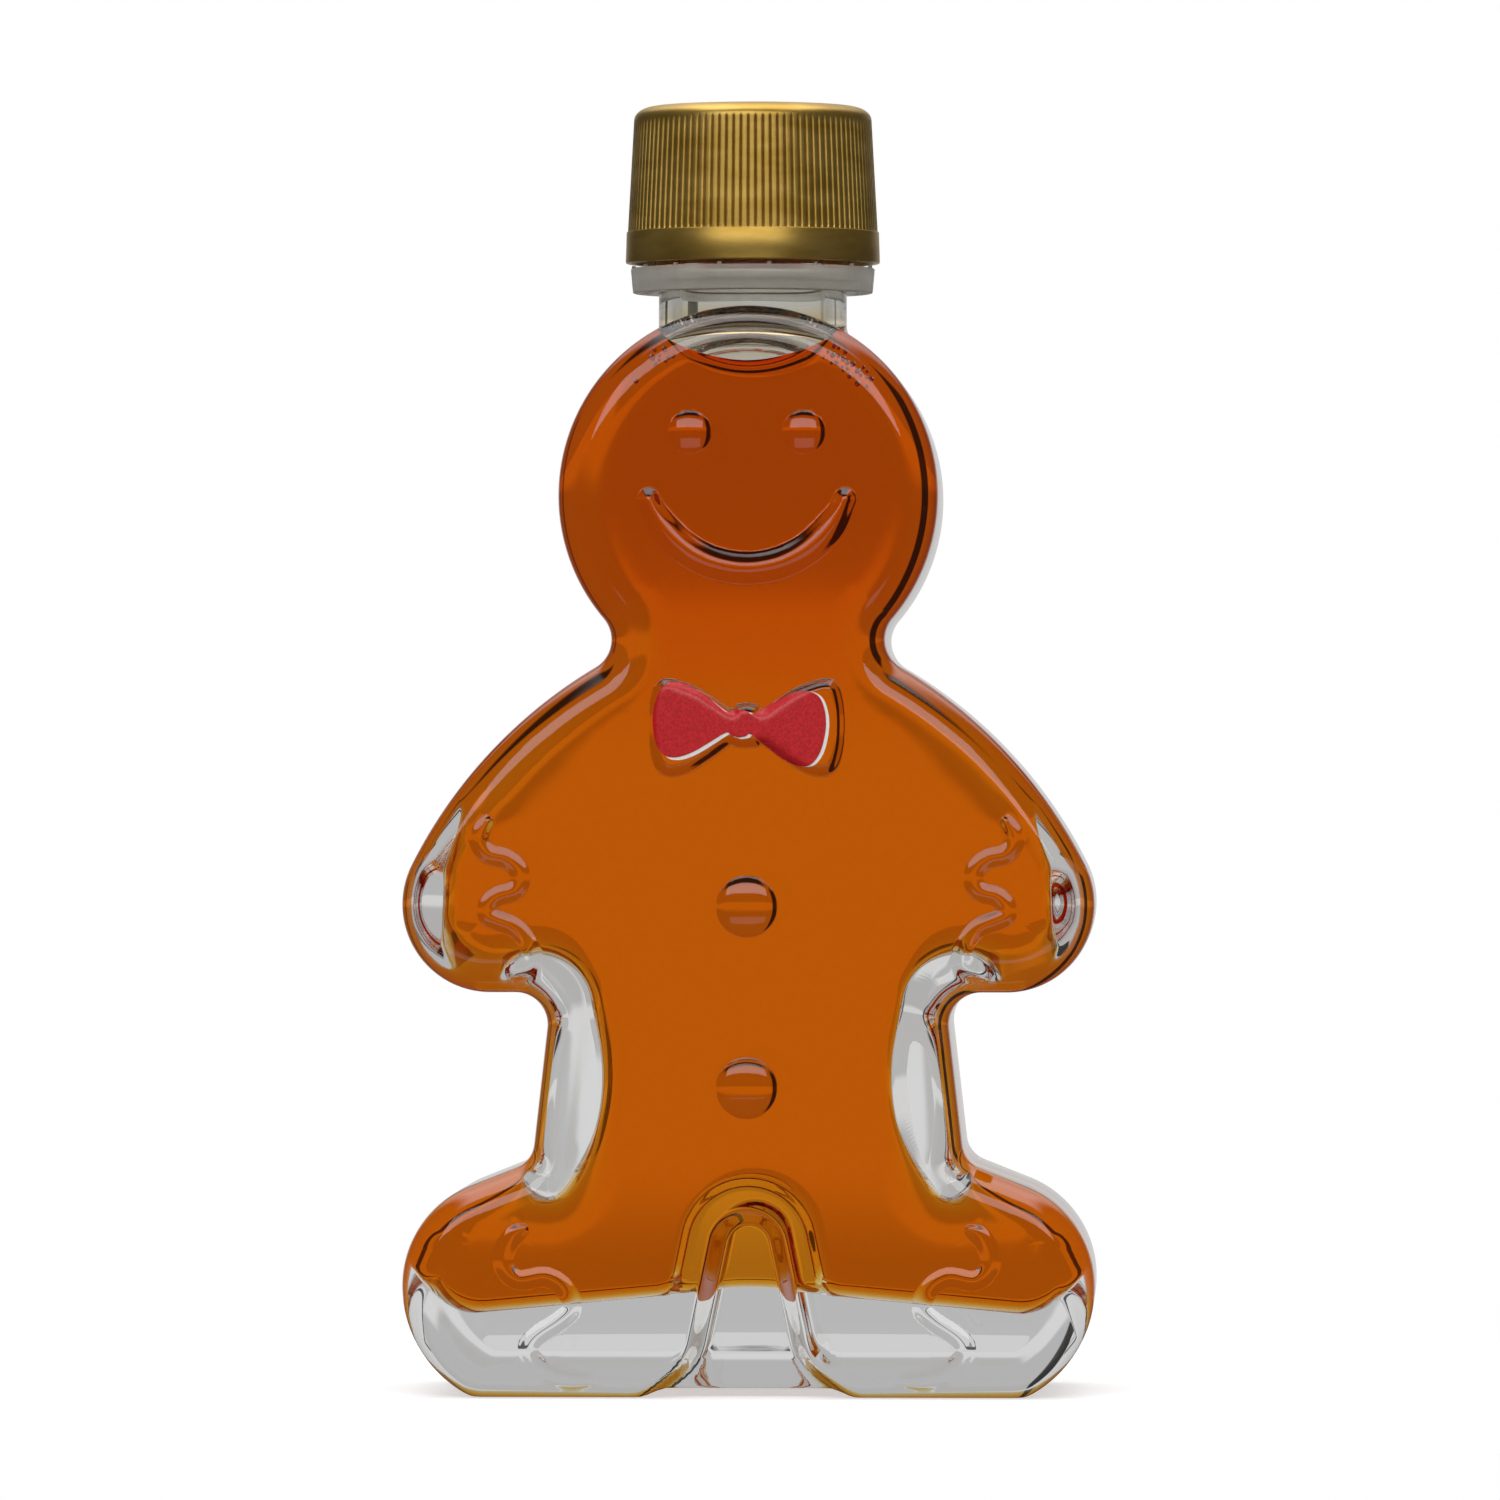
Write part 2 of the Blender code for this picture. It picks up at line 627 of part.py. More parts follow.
def screw_cap():
    """The gold cap: smooth skirt, tapering ribbed wall, rounded top, inside thread."""
    skirt_top = SKIRT_Z + SKIRT_HEIGHT
    rib_bottom = skirt_top + RIB_RUN_OUT
    shoulder = CAP_TOP_Z - CAP_TOP_DROP
    rib_top = shoulder - RIB_RUN_OUT
    sections = [
        cap_ring(SKIRT_Z, SKIRT_RADIUS),
        cap_ring(skirt_top, SKIRT_TOP_RADIUS),
        cap_ring(rib_bottom, RIB_BOTTOM_RADIUS, RIB_BOTTOM_RADIUS - RIB_HEIGHT),
        cap_ring(rib_top, RIB_TOP_RADIUS, RIB_TOP_RADIUS - RIB_HEIGHT),
        cap_ring(shoulder, RIB_TOP_RADIUS),
    ]
    for k in (1, 2):
        turn = math.pi / 2 * k / 2
        radius = RIB_TOP_RADIUS - CAP_TOP_ROUND * (1 - math.cos(turn))
        sections.append(cap_ring(shoulder + CAP_TOP_DROP * math.sin(turn), radius))
    cap = loft("screw_cap", sections, PARTS)

    inside = group("inside_of_cap")
    skirt_bore = SKIRT_RADIUS - SKIRT_WALL
    step_z = SKIRT_Z + SKIRT_BORE_HEIGHT
    profile = [
        (0.0, CAP_ROOF_Z),
        (CAP_BORE, CAP_ROOF_Z),
        (CAP_BORE, step_z + skirt_bore - CAP_BORE),
        (skirt_bore, step_z),
        (skirt_bore, SKIRT_Z - SKIRT_WALL),
        (0.0, SKIRT_Z - SKIRT_WALL),
    ]
    turned("cap_hollow", profile, inside)
    boolean(cap, "DIFFERENCE", inside)

    grip = group("thread_in_cap")
    first_z = THREAD_Z - THREAD_PITCH / 2
    thread("cap_thread", CAP_BORE + BURIED, CAP_BORE - CAP_THREAD_DEPTH, first_z, grip)
    boolean(cap, "UNION", grip)
    paint(cap, (0.36, 0.22, 0.05, 1), 0.35, metallic=0.6)


def cap_liner():
    """The sealing disc between the lip and the cap's roof."""
    top = CAP_ROOF_Z - GAP
    bottom = LIP_Z + GAP
    radius = CAP_BORE - GAP
    liner = turned("cap_liner", [(0.0, top), (radius, top), (radius, bottom), (0.0, bottom)], PARTS)
    paint(liner, (0.85, 0.85, 0.82, 1), 0.6)


def tamper_band():
    """The band left on the neck: a ring that catches under the bead, with the stubs of its bridges."""
    lip_radius = BEAD_RADIUS - BAND_CATCH
    top_radius = BAND_BORE + BAND_WALL
    profile = [
        (BAND_BORE, BAND_TOP_Z),
        (top_radius, BAND_TOP_Z),
        (top_radius - BAND_DRAFT, BAND_BOTTOM_Z),
        (lip_radius, BAND_BOTTOM_Z),
        (lip_radius, BAND_LIP_Z),
        (BAND_BORE, BAND_LIP_Z),
    ]
    band = turned("tamper_band", profile, PARTS, closed=True)
    stubs = group("bridge_stubs")
    for k in range(BRIDGE_COUNT):
        inner = BAND_BORE + GAP / 2
        low = (inner, -BRIDGE_WIDTH / 2, BAND_TOP_Z - BURIED)
        high = (inner + BRIDGE_DEPTH, BRIDGE_WIDTH / 2, SKIRT_Z - GAP)
        stub = box(f"bridge_{k}", low, high, stubs)
        stub.rotation_euler.z = BRIDGE_START + 2 * math.pi * k / BRIDGE_COUNT
    boolean(band, "UNION", stubs)
    paint(band, (0.45, 0.43, 0.38, 1), 0.4)


def bow_tie_print():
    """Two ink layers on the raised bow tie, white under red, the red a little out of register."""
    layers = (("bow_tie_white", (0.85, 0.85, 0.83, 1)), ("bow_tie_red", (0.42, 0.012, 0.014, 1)))
    for number, (name, color) in enumerate(layers):
        back = FRONT - TIE_RISE - PRINT_GAP - number * (PRINT_THICKNESS + PRINT_GAP)
        faces = [(back, TIE_PRINT_INSET), (back - PRINT_THICKNESS, TIE_PRINT_INSET)]
        ink = plate(name, tie_rounds(), faces, PARTS)
        shift_x, shift_z = TIE_PRINT_SHIFT
        ink.location = (number * shift_x, 0.0, number * shift_z)
        paint(ink, color, 0.3)


bottle_glass()
syrup()
screw_cap()
cap_liner()
tamper_band()
bow_tie_print()
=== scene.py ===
"""The looks of the syrup bottle: clear glass, amber syrup, satin gold cap, printed bow tie.

Metres, +Z up, the front faces -Y, in the same frame as the CAD parts.
"""

import math
import random
from collections import namedtuple

import bmesh
import bpy
import numpy as np
from mathutils import Matrix, Vector
from mathutils.geometry import delaunay_2d_cdt


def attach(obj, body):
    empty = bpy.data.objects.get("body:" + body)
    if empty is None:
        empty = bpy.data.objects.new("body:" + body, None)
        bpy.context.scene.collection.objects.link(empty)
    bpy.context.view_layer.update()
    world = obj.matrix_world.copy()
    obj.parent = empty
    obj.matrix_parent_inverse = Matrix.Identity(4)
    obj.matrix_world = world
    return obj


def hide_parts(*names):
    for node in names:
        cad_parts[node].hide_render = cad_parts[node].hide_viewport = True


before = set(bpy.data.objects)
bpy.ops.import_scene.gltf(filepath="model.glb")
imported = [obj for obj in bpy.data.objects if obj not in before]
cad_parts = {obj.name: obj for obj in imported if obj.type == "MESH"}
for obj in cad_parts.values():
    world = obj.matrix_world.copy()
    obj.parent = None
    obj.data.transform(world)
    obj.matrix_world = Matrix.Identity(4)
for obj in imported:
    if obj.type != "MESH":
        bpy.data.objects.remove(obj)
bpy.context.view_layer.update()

Round = namedtuple("Round", "x z radius")

# The figure seen from the front, as in the CAD
HEAD_RADIUS = 0.02375
HEAD_Z = 0.1126
THROAT_RADIUS = 0.004
THROAT_DROP = 0.018
SHOULDER_RADIUS = 0.060
HAND_RADIUS = 0.011
HAND_REACH = 0.0433
HAND_Z = 0.0615
ARMPIT_RADIUS = 0.004
WAIST_REACH = 0.0251
ANKLE_RADIUS = 0.0035
ANKLE_REACH = 0.02675
ANKLE_RISE = 0.00115
FOOT_TOP_RADIUS = 0.0134
FOOT_REACH = 0.0433
FOOT_Z = 0.01385
SOLE_DIP = 0.00165
SOLE_CORNER = 0.006
SOLE_CUT = 0.0003

# The glass from front to back, and its walls
DEPTH = 0.040
OUTER_EDGE = 0.0050
EDGE_POWER = 2.2
WET_GAP = 0.00003

# The hollow: its own, smoother figure as rounds of (x, z, radius), thick glass at the hands and waist
HEAD_WALL = 0.0021
THROAT_WALL = 0.0026
HAND_SPOT = (0.0327, 0.0598, 0.0061)
HAND_TOP_SPOT = (0.0320, 0.0642, 0.0066)
ARMPIT_SPOT = (0.0267, 0.0484, -0.0066)
SHOULDER_HOLLOW = 0.045
WAIST_SPOT = (0.0425, 0.0399, -0.0237)
ANKLE_SPOT = (0.0254, 0.0269, -0.0021)
FOOT_TOP_SPOT = (0.0345, 0.0190, 0.0064)
FOOT_SPOT = (0.0340, 0.0169, 0.0065)
FLOOR_SPOT = (0.0, -0.0266, -0.0400)
HEAD_FACE_WALL = 0.0015
BODY_FACE_WALL = 0.0046
INNER_HEAD_Z = 0.078
INNER_HEAD_BLEND = 0.024

# The hollow's rounded edges, and how much its sides lean out where the edges are tight
FULL_EDGE = 0.0062
HEAD_EDGE = 0.0048
TIGHT_EDGE = 0.0020
HEAD_EDGE_Z = 0.082
HEAD_EDGE_BLEND = 0.010
FLOOR_EDGE_Z = 0.021
LEFT_DRAFT = 0.0011
RIGHT_DRAFT = 0.0016

# Where the edges are tight, as heights (low, its blend, high, its blend) and as distances from the middle
WAIST_TIGHT = (0.026, 0.010, 0.0575, 0.006)
WAIST_TIGHT_X = 0.0320
HAND_TIGHT = (0.055, 0.005, 0.079, 0.010)
HAND_TIGHT_X = 0.031
UNDER_TIGHT = (0.046, 0.003, 0.060, 0.004)
UNDER_TIGHT_X = 0.020
UNDER_SHARE = 0.35

# The recess between the legs, and the flat soles beside it
NOTCH_TOP_RADIUS = 0.0046
NOTCH_TOP_Z = 0.0188
NOTCH_DEPTH = 0.005
NOTCH_SLOPE = 0.0022
NOTCH_ROUND = 0.0003
NOTCH_WALL = 0.0040
NOTCH_INNER_SLOPE = 0.0018
HEEL_RADIUS = 0.0067
HEEL_X = 0.0137
HEEL_Z = 0.0085
WEB_LIFT = 0.001
WEB_BLEND = 0.0035
FOOT_SIDE_GAP = 0.0003

# The neck and its finish
HEAD_TOP_Z = HEAD_Z + HEAD_RADIUS
LIP_Z = 0.1591
BORE_RADIUS = 0.0092
NECK_RADIUS = 0.011875
NECK_FLARE = 0.0028
NECK_FLARE_DROP = 0.00195
NECK_CORNER = 0.0004
LIP_CORNER = 0.0007
AXIS_GAP = 0.0008
THREAD_ROOT = 0.0124
THREAD_DEPTH = 0.0011
THREAD_PITCH = 0.004233
THREAD_TURNS = 1.75
THREAD_Z = 0.1490
THREAD_BASE = 0.0017
THREAD_TOP = 0.0008
BEAD_RADIUS = 0.0139
BEAD_Z = 0.13965
BEAD_HEIGHT = 0.0015

# The syrup's surface: a bowl that creeps up the faces, drawn on a grid of lines
FILL_Z = 0.1278
FILL_BOWL = 32.0
FILL_CREEP = 0.0016
FILL_CREEP_POWER = 5
SURFACE_XS = (-0.0148, 0.0150, 0.0006)
SURFACE_REACH = 0.0183
SURFACE_LINES = 45

# The bubbles under it: (from, to, count), in degrees round the head
BUBBLE_ARCS = ((-36, -22, 24), (24, 48, 26), (-46, -44, 1))
BUBBLE_SIZES = (0.00020, 0.00040)
BUBBLE_WALLS = (0.0007, 0.0022)
BUBBLE_GAP = 0.00015
BUBBLE_DEPTH = 0.0002
BUBBLE_TRIES = 30

# Raised details of the front, with the cuffs as points of the right half
EYE_X = 0.0071
EYE_Z = 0.1204
EYE_RADIUS = 0.0027
EYE_HEIGHT = 0.0008
SMILE_Z = 0.1165
SMILE_RADIUS = 0.0130
SMILE_HALF_ANGLE = math.radians(70)
SMILE_WIDTH = 0.0042
SMILE_HEIGHT = 0.0010
BUTTON_ZS = (0.0613, 0.0387)
BUTTON_RADIUS = 0.0038
BUTTON_HEIGHT = 0.0009
CUFF_WIDTH = 0.0026
CUFF_HEIGHT = 0.0003
WRIST_STOPS = (
    (0.0324, 0.0718), (0.0334, 0.0698), (0.0323, 0.0679), (0.0301, 0.0673), (0.0286, 0.0661),
    (0.0282, 0.0646), (0.0291, 0.0632), (0.0311, 0.0626), (0.0323, 0.0614), (0.0323, 0.0602),
    (0.0309, 0.0595), (0.0288, 0.0586), (0.0272, 0.0567), (0.0267, 0.0548), (0.0272, 0.0536),
    (0.0288, 0.0529),
)
ANKLE_STOPS = (
    (0.0280, 0.0210), (0.0292, 0.0202), (0.0302, 0.0183), (0.0302, 0.0164), (0.0284, 0.0148),
    (0.0251, 0.0152), (0.0227, 0.0138), (0.0218, 0.0114), (0.0232, 0.0098), (0.0264, 0.0076),
    (0.0272, 0.0057), (0.0251, 0.0033), (0.0227, 0.0023), (0.0196, 0.0022),
)

# The bow tie: right half of the raised plate and of the print in mm, about the middle of the knot
TIE_Z = 0.0841
TIE_REACH = 0.016
TIE_HALF_HEIGHT = 0.010
TIE_RISE = 0.0009
TIE_SLOPE = 0.0013
TIE_PLATE = (
    (0.0, -2.95), (1.3, -2.85), (2.1, -2.65), (4.6, -4.4), (7.2, -6.0), (9.6, -6.5), (11.2, -5.5),
    (12.0, -3.0), (12.2, 0.0), (12.0, 2.6), (11.4, 4.6), (10.3, 5.5), (8.6, 5.3), (6.0, 4.3),
    (3.8, 2.9), (1.95, 1.75), (1.2, 2.3), (0.0, 2.5),
)
TIE_PRINT = (
    (0.0, -1.85), (0.9, -1.65), (1.55, -1.35), (3.5, -2.7), (5.6, -4.1), (7.6, -4.85), (9.2, -4.6),
    (10.3, -3.0), (10.8, -0.3), (10.6, 2.0), (9.8, 3.8), (8.4, 4.5), (6.6, 4.2), (4.3, 3.0),
    (2.6, 1.8), (1.55, 1.15), (0.9, 1.5), (0.0, 1.65),
)
WHITE_SHIFT = (-0.0005, -0.0001)
WHITE_TURN = math.radians(-3.0)
RED_SHIFT = (-0.0009, 0.0001)
RED_TURN = math.radians(-4.0)
INK_THICKNESS = 0.00005
INK_GAP = 0.00003

# The cap and the band
CAP_TOP_Z = 0.1620
CAP_ROOF_Z = 0.1607
CAP_TOP_ROUND = 0.0026
CAP_TOP_DROP = 0.0017
CAP_BORE = 0.0138
CAP_THREAD_DEPTH = 0.00085
RIB_COUNT = 102
RIB_HEIGHT = 0.00028
RIB_POWER = 5
RIB_TOP_RADIUS = 0.0150
RIB_BOTTOM_RADIUS = 0.01578
SKIRT_Z = 0.1422
SKIRT_TOP_Z = 0.1462
SKIRT_TOP_RADIUS = 0.01594
SKIRT_RADIUS = 0.01605
SKIRT_WALL = 0.0013
SKIRT_BORE_HEIGHT = 0.0030
BAND_TOP_Z = 0.1416
BAND_BOTTOM_Z = 0.13845
BAND_LIP_Z = 0.13935
BAND_BORE = 0.0145
BAND_TOP_RADIUS = 0.0154
BAND_BOTTOM_RADIUS = 0.01515
BAND_CATCH_RADIUS = 0.0133
BRIDGE_COUNT = 15
BRIDGE_START = math.radians(16)
BRIDGE_FOOT = (0.00034, BAND_TOP_Z - 0.0002)
BRIDGE_TOP = (0.00026, SKIRT_Z - 0.0003)

# How deep the grooves between the ribs are: (share of the way up, share of the depth)
GROOVE_DEPTHS = (
    (0.0, 0.35), (0.008, 0.8), (0.03, 1.0), (0.5, 1.0), (0.93, 1.0), (0.96, 0.9), (0.985, 0.5), (1.0, 0.0),
)

# The glass, warmer where the neck begins, and the syrup
GLASS_IOR = 1.52
SYRUP_IOR = 1.46
TINT_LOW_Z = 0.125
TINT_HIGH_Z = 0.145
CLEAR = (0.985, 0.995, 0.985, 1)
WARM = (0.960, 0.885, 0.700, 1)
PALE = (0.990, 0.990, 0.960, 1)
TINT_STOPS = ((0.30, CLEAR), (0.44, WARM), (0.60, WARM), (0.70, PALE))
SYRUP_COLOUR = (0.969, 0.762, 0.10, 1)
SYRUP_DENSITY = 260.0

# How finely the glass is drawn
STEP = 0.0005
TURN_STEP = math.radians(4)
COARSE = 0.0018
FINE = 0.00024
CROWDED = 0.00006
TIE_ROWS = np.arange(-0.0016, 0.0004, 0.00014)
NOTCH_ROWS = np.arange(-0.0024, 0.0008, 0.0002)
INNER_NOTCH_ROWS = np.arange(0.0020, 0.0048, 0.0002)
INK_ROWS = (0.0002, 0.0004, 0.0007)
INK_STEP = 0.0005
RIM_ROWS = 20
AROUND = 144


def belt(rounds):
    """Points and outward normals of a right half outline, bottom middle to top middle."""
    normals = [Vector((0, -1))]
    for a, b in zip(rounds, rounds[1:]):
        step = Vector((b.x - a.x, b.z - a.z))
        along = step.normalized()
        turn = max(-1.0, min(1.0, (a.radius - b.radius) / step.length))
        normals.append(along * turn + Vector((along.y, -along.x)) * math.sqrt(1 - turn * turn))
    normals.append(Vector((0, 1)))
    arcs = []
    for spot, start, end in zip(rounds, normals, normals[1:]):
        first = math.atan2(start.y, start.x)
        sweep = math.atan2(end.y, end.x) - first
        slack = 0.001 if spot.radius > 0 else -0.001
        while (sweep + slack) * spot.radius < 0:
            sweep += math.copysign(2 * math.pi, spot.radius)
        steps = max(2, math.ceil(abs(sweep * spot.radius) / STEP), math.ceil(abs(sweep) / TURN_STEP))
        for k in range(steps + 1):
            angle = first + sweep * k / steps
            normal = Vector((math.cos(angle), math.sin(angle)))
            arcs.append((Vector((spot.x, spot.z)) + normal * spot.radius, normal))
    start = Vector((0.0, arcs[0][0].y))
    points = [(start, normals[0])]
    for point, normal in arcs:
        last, last_normal = points[-1]
        gap = (point - last).length
        if gap < STEP / 20:
            continue
        for k in range(1, math.ceil(gap / (1.5 * STEP))):
            points.append((last.lerp(point, k / math.ceil(gap / (1.5 * STEP))), normal))
        points.append((point, normal))
    return points


def outline(rounds):
    """The closed outline as two arrays, points and outward normals, counter-clockwise."""
    right = belt(rounds)
    points = [(p.x, p.y) for p, n in right]
    normals = [(n.x, n.y) for p, n in right]
    for p, n in reversed(right):
        if p.x > STEP / 20:
            points.append((-p.x, p.y))
            normals.append((-n.x, n.y))
    return np.array(points), np.array(normals)


def nested(outer, radius, z):
    """A smaller round at height z that touches the outer one from inside, on its right."""
    reach = outer.radius - radius
    rise = z - outer.z
    return Round(outer.x + math.sqrt(reach * reach - rise * rise), z, radius)


def between(low, from_low, high, from_high):
    """The point at these distances from the middles of two rounds, on their left."""
    step = Vector((high.x - low.x, high.z - low.z))
    apart = step.length
    along = (from_low * from_low - from_high * from_high + apart * apart) / (2 * apart)
    aside = math.sqrt(from_low * from_low - along * along)
    forward = step / apart
    return Vector((low.x, low.z)) + forward * along + Vector((-forward.y, forward.x)) * aside


def outer_rounds():
    """The outside of the glass."""
    sole_radius = FOOT_Z + SOLE_DIP
    sole = Round(FOOT_REACH - sole_radius, FOOT_Z, sole_radius)
    corner = nested(sole, SOLE_CORNER, SOLE_CORNER - SOLE_CUT)
    foot = Round(FOOT_REACH - FOOT_TOP_RADIUS, FOOT_Z, FOOT_TOP_RADIUS)
    ankle_z = FOOT_Z + FOOT_TOP_RADIUS + ANKLE_RISE + ANKLE_RADIUS
    ankle = Round(ANKLE_REACH + ANKLE_RADIUS, ankle_z, -ANKLE_RADIUS)
    armpit_z = HAND_Z - HAND_RADIUS - ARMPIT_RADIUS
    armpit = Round(WAIST_REACH + ARMPIT_RADIUS, armpit_z, -ARMPIT_RADIUS)
    hand = Round(HAND_REACH - HAND_RADIUS, HAND_Z, HAND_RADIUS)
    throat = throat_round(0.0)
    shoulder = shoulder_round(hand, throat, SHOULDER_RADIUS)
    head = Round(0.0, HEAD_Z, HEAD_RADIUS)
    return [corner, sole, foot, ankle, armpit, hand, shoulder, throat, head]


def throat_round(wall):
    """Between head and shoulder, bent the other way."""
    apart = HEAD_RADIUS + THROAT_RADIUS
    throat_x = math.sqrt(apart * apart - THROAT_DROP * THROAT_DROP)
    return Round(throat_x, HEAD_Z - THROAT_DROP, -(THROAT_RADIUS + wall))


def shoulder_round(hand, throat, radius):
    """The wide round that touches the hand and the throat."""
    middle = between(hand, radius - hand.radius, throat, radius - throat.radius)
    return Round(middle.x, middle.y, radius)


def inner_rounds():
    """The hollow inside the glass."""
    floor = Round(*FLOOR_SPOT)
    foot = Round(*FOOT_SPOT)
    foot_top = Round(*FOOT_TOP_SPOT)
    ankle = Round(*ANKLE_SPOT)
    waist = Round(*WAIST_SPOT)
    armpit = Round(*ARMPIT_SPOT)
    hand = Round(*HAND_SPOT)
    hand_top = Round(*HAND_TOP_SPOT)
    throat = throat_round(THROAT_WALL)
    shoulder = shoulder_round(hand_top, throat, SHOULDER_HOLLOW)
    head = Round(0.0, HEAD_Z, HEAD_RADIUS - HEAD_WALL)
    return [floor, foot, foot_top, ankle, waist, armpit, hand, hand_top, shoulder, throat, head]


def notch_rounds():
    """The recess between the legs, an arch that spreads over the heels."""
    foot_side = Round(HEEL_X + FOOT_SIDE_GAP, -WEB_LIFT, WEB_LIFT / 2)
    heel = Round(HEEL_X, HEEL_Z, -HEEL_RADIUS)
    return [foot_side, heel, Round(0.0, NOTCH_TOP_Z, NOTCH_TOP_RADIUS)]


def curve(stops, steps, closed=False):
    """A smooth curve through the stops, as an array."""
    stops = np.array(stops, float)
    if closed:
        around = np.concatenate((stops[-1:], stops, stops[:2]))
    else:
        around = np.concatenate((stops[:1], stops, stops[-1:]))
    t = np.arange(steps)[:, None] / steps
    pieces = []
    for a, b, c, d in zip(around, around[1:], around[2:], around[3:]):
        bend = (2 * a - 5 * b + 4 * c - d) * t ** 2
        twist = (3 * b - a - 3 * c + d) * t ** 3
        pieces.append((2 * b + (c - a) * t + bend + twist) / 2)
    if not closed:
        pieces.append(stops[-1:])
    return np.concatenate(pieces)


def bow(stops, shift=(0.0, 0.0), turn=0.0):
    """A closed bow tie outline from its right half in millimetres, and its outward normals."""
    right = curve(stops, 8)
    left = right[-2:0:-1] * (-1, 1)
    x, z = np.concatenate((right, left)).T / 1000
    cos, sin = math.cos(turn), math.sin(turn)
    points = np.column_stack((x * cos - z * sin, x * sin + z * cos))
    points += (shift[0], TIE_Z + shift[1])
    along = np.roll(points, -1, axis=0) - np.roll(points, 1, axis=0)
    along /= np.hypot(*along.T)[:, None]
    return points, np.column_stack((along[:, 1], -along[:, 0]))


def eased(share):
    """0 to 1 with a soft start and end."""
    share = np.clip(share, 0.0, 1.0)
    return share * share * (3 - 2 * share)


def span(z, low, low_blend, high, high_blend):
    """1 between two heights and 0 beyond, with a soft change at each."""
    return eased((z - low) / low_blend) * eased((high - z) / high_blend)


def outer_edge(x, z):
    """The radius of the rounded edges of the outside."""
    return np.full(x.shape, OUTER_EDGE)


def tightness(x, z):
    """1 where the hollow has tight edges: at the waist and beside the hands, less under them."""
    waist = span(z, *WAIST_TIGHT) * eased((WAIST_TIGHT_X - abs(x)) / 0.006)
    hand = span(z, *HAND_TIGHT) * eased((abs(x) - HAND_TIGHT_X) / 0.004)
    under = UNDER_SHARE * span(z, *UNDER_TIGHT) * eased((abs(x) - UNDER_TIGHT_X) / 0.004)
    return np.maximum(np.maximum(waist, hand), under)


def inner_edge(x, z):
    """The same for the hollow: full at the body, less at the head, tight in places and at the floor."""
    plain = FULL_EDGE + (HEAD_EDGE - FULL_EDGE) * eased((z - HEAD_EDGE_Z) / HEAD_EDGE_BLEND)
    floor = eased((FLOOR_EDGE_Z - z) / 0.004)
    return plain + (TIGHT_EDGE - plain) * np.maximum(tightness(x, z), floor)


def no_draft(x, z):
    """The outside has upright sides."""
    return np.zeros(x.shape)


def inner_draft(x, z):
    """How much further out the hollow's sides are at mid depth than near the faces."""
    return tightness(x, z) * np.where(x < 0, LEFT_DRAFT, RIGHT_DRAFT)


def to_path(x, z, path, radii):
    """1 on a path, 0 at its half width and negative outside."""
    best = np.full(x.shape, -9.0)
    for (a, b), (ra, rb) in zip(zip(path, path[1:]), zip(radii, radii[1:])):
        dx, dz = b[0] - a[0], b[1] - a[1]
        share = np.clip(((x - a[0]) * dx + (z - a[1]) * dz) / (dx * dx + dz * dz), 0, 1)
        away = np.hypot(x - a[0] - share * dx, z - a[1] - share * dz)
        best = np.maximum(best, 1 - away / (ra + (rb - ra) * share))
    return best


def inside_by(x, z, loop):
    """How far points are inside a closed loop; negative outside."""
    ends = np.roll(loop, -1, axis=0)
    nearest = np.full(x.shape, 9.0)
    crossings = np.zeros(x.shape, int)
    for (ax, az), (bx, bz) in zip(loop, ends):
        dx, dz = bx - ax, bz - az
        share = np.clip(((x - ax) * dx + (z - az) * dz) / (dx * dx + dz * dz + 1e-18), 0, 1)
        nearest = np.minimum(nearest, np.hypot(x - ax - share * dx, z - az - share * dz))
        spans = (az > z) != (bz > z)
        with np.errstate(divide="ignore", invalid="ignore"):
            crossings += spans & (x < ax + (z - az) * dx / (dz if dz else 1e-18))
    return np.where(crossings % 2 == 1, nearest, -nearest)


def smile_path():
    """The mouth's arc."""
    turns = np.linspace(-SMILE_HALF_ANGLE, SMILE_HALF_ANGLE, 49) - math.pi / 2
    return np.column_stack((SMILE_RADIUS * np.cos(turns), SMILE_Z + SMILE_RADIUS * np.sin(turns)))


def tapered(count, half, ends):
    """Half widths along a path, slimmer over the steps at its ends."""
    steps = np.arange(count)
    return half * (0.70 + 0.30 * eased(np.minimum(steps, count - 1 - steps) / ends))


def ridges():
    """Every raised line and dome of the front: (path, half widths, height, roundness)."""
    made = []
    smile = smile_path()
    made.append((smile, tapered(len(smile), SMILE_WIDTH / 2, 8), SMILE_HEIGHT, 0.0))
    for side in (-1, 1):
        eye = np.array(((side * EYE_X, EYE_Z), (side * EYE_X, EYE_Z + 1e-6)))
        made.append((eye, np.array((EYE_RADIUS, EYE_RADIUS)), EYE_HEIGHT, 0.85))
        for stops in (WRIST_STOPS, ANKLE_STOPS):
            path = curve(stops, 6) * (side, 1)
            made.append((path, tapered(len(path), CUFF_WIDTH / 2, 5), CUFF_HEIGHT, 0.0))
    for z in BUTTON_ZS:
        button = np.array(((0.0, z), (0.0, z + 1e-6)))
        made.append((button, np.array((BUTTON_RADIUS, BUTTON_RADIUS)), BUTTON_HEIGHT, 0.75))
    return made


RIDGES = ridges()
TIE_LOOP, TIE_NORMALS = bow(TIE_PLATE)
NOTCH_LOOP, NOTCH_NORMALS = outline(notch_rounds())
NOTCH_LOOP[NOTCH_LOOP[:, 1] < -WEB_LIFT] -= (0.0, 0.02)


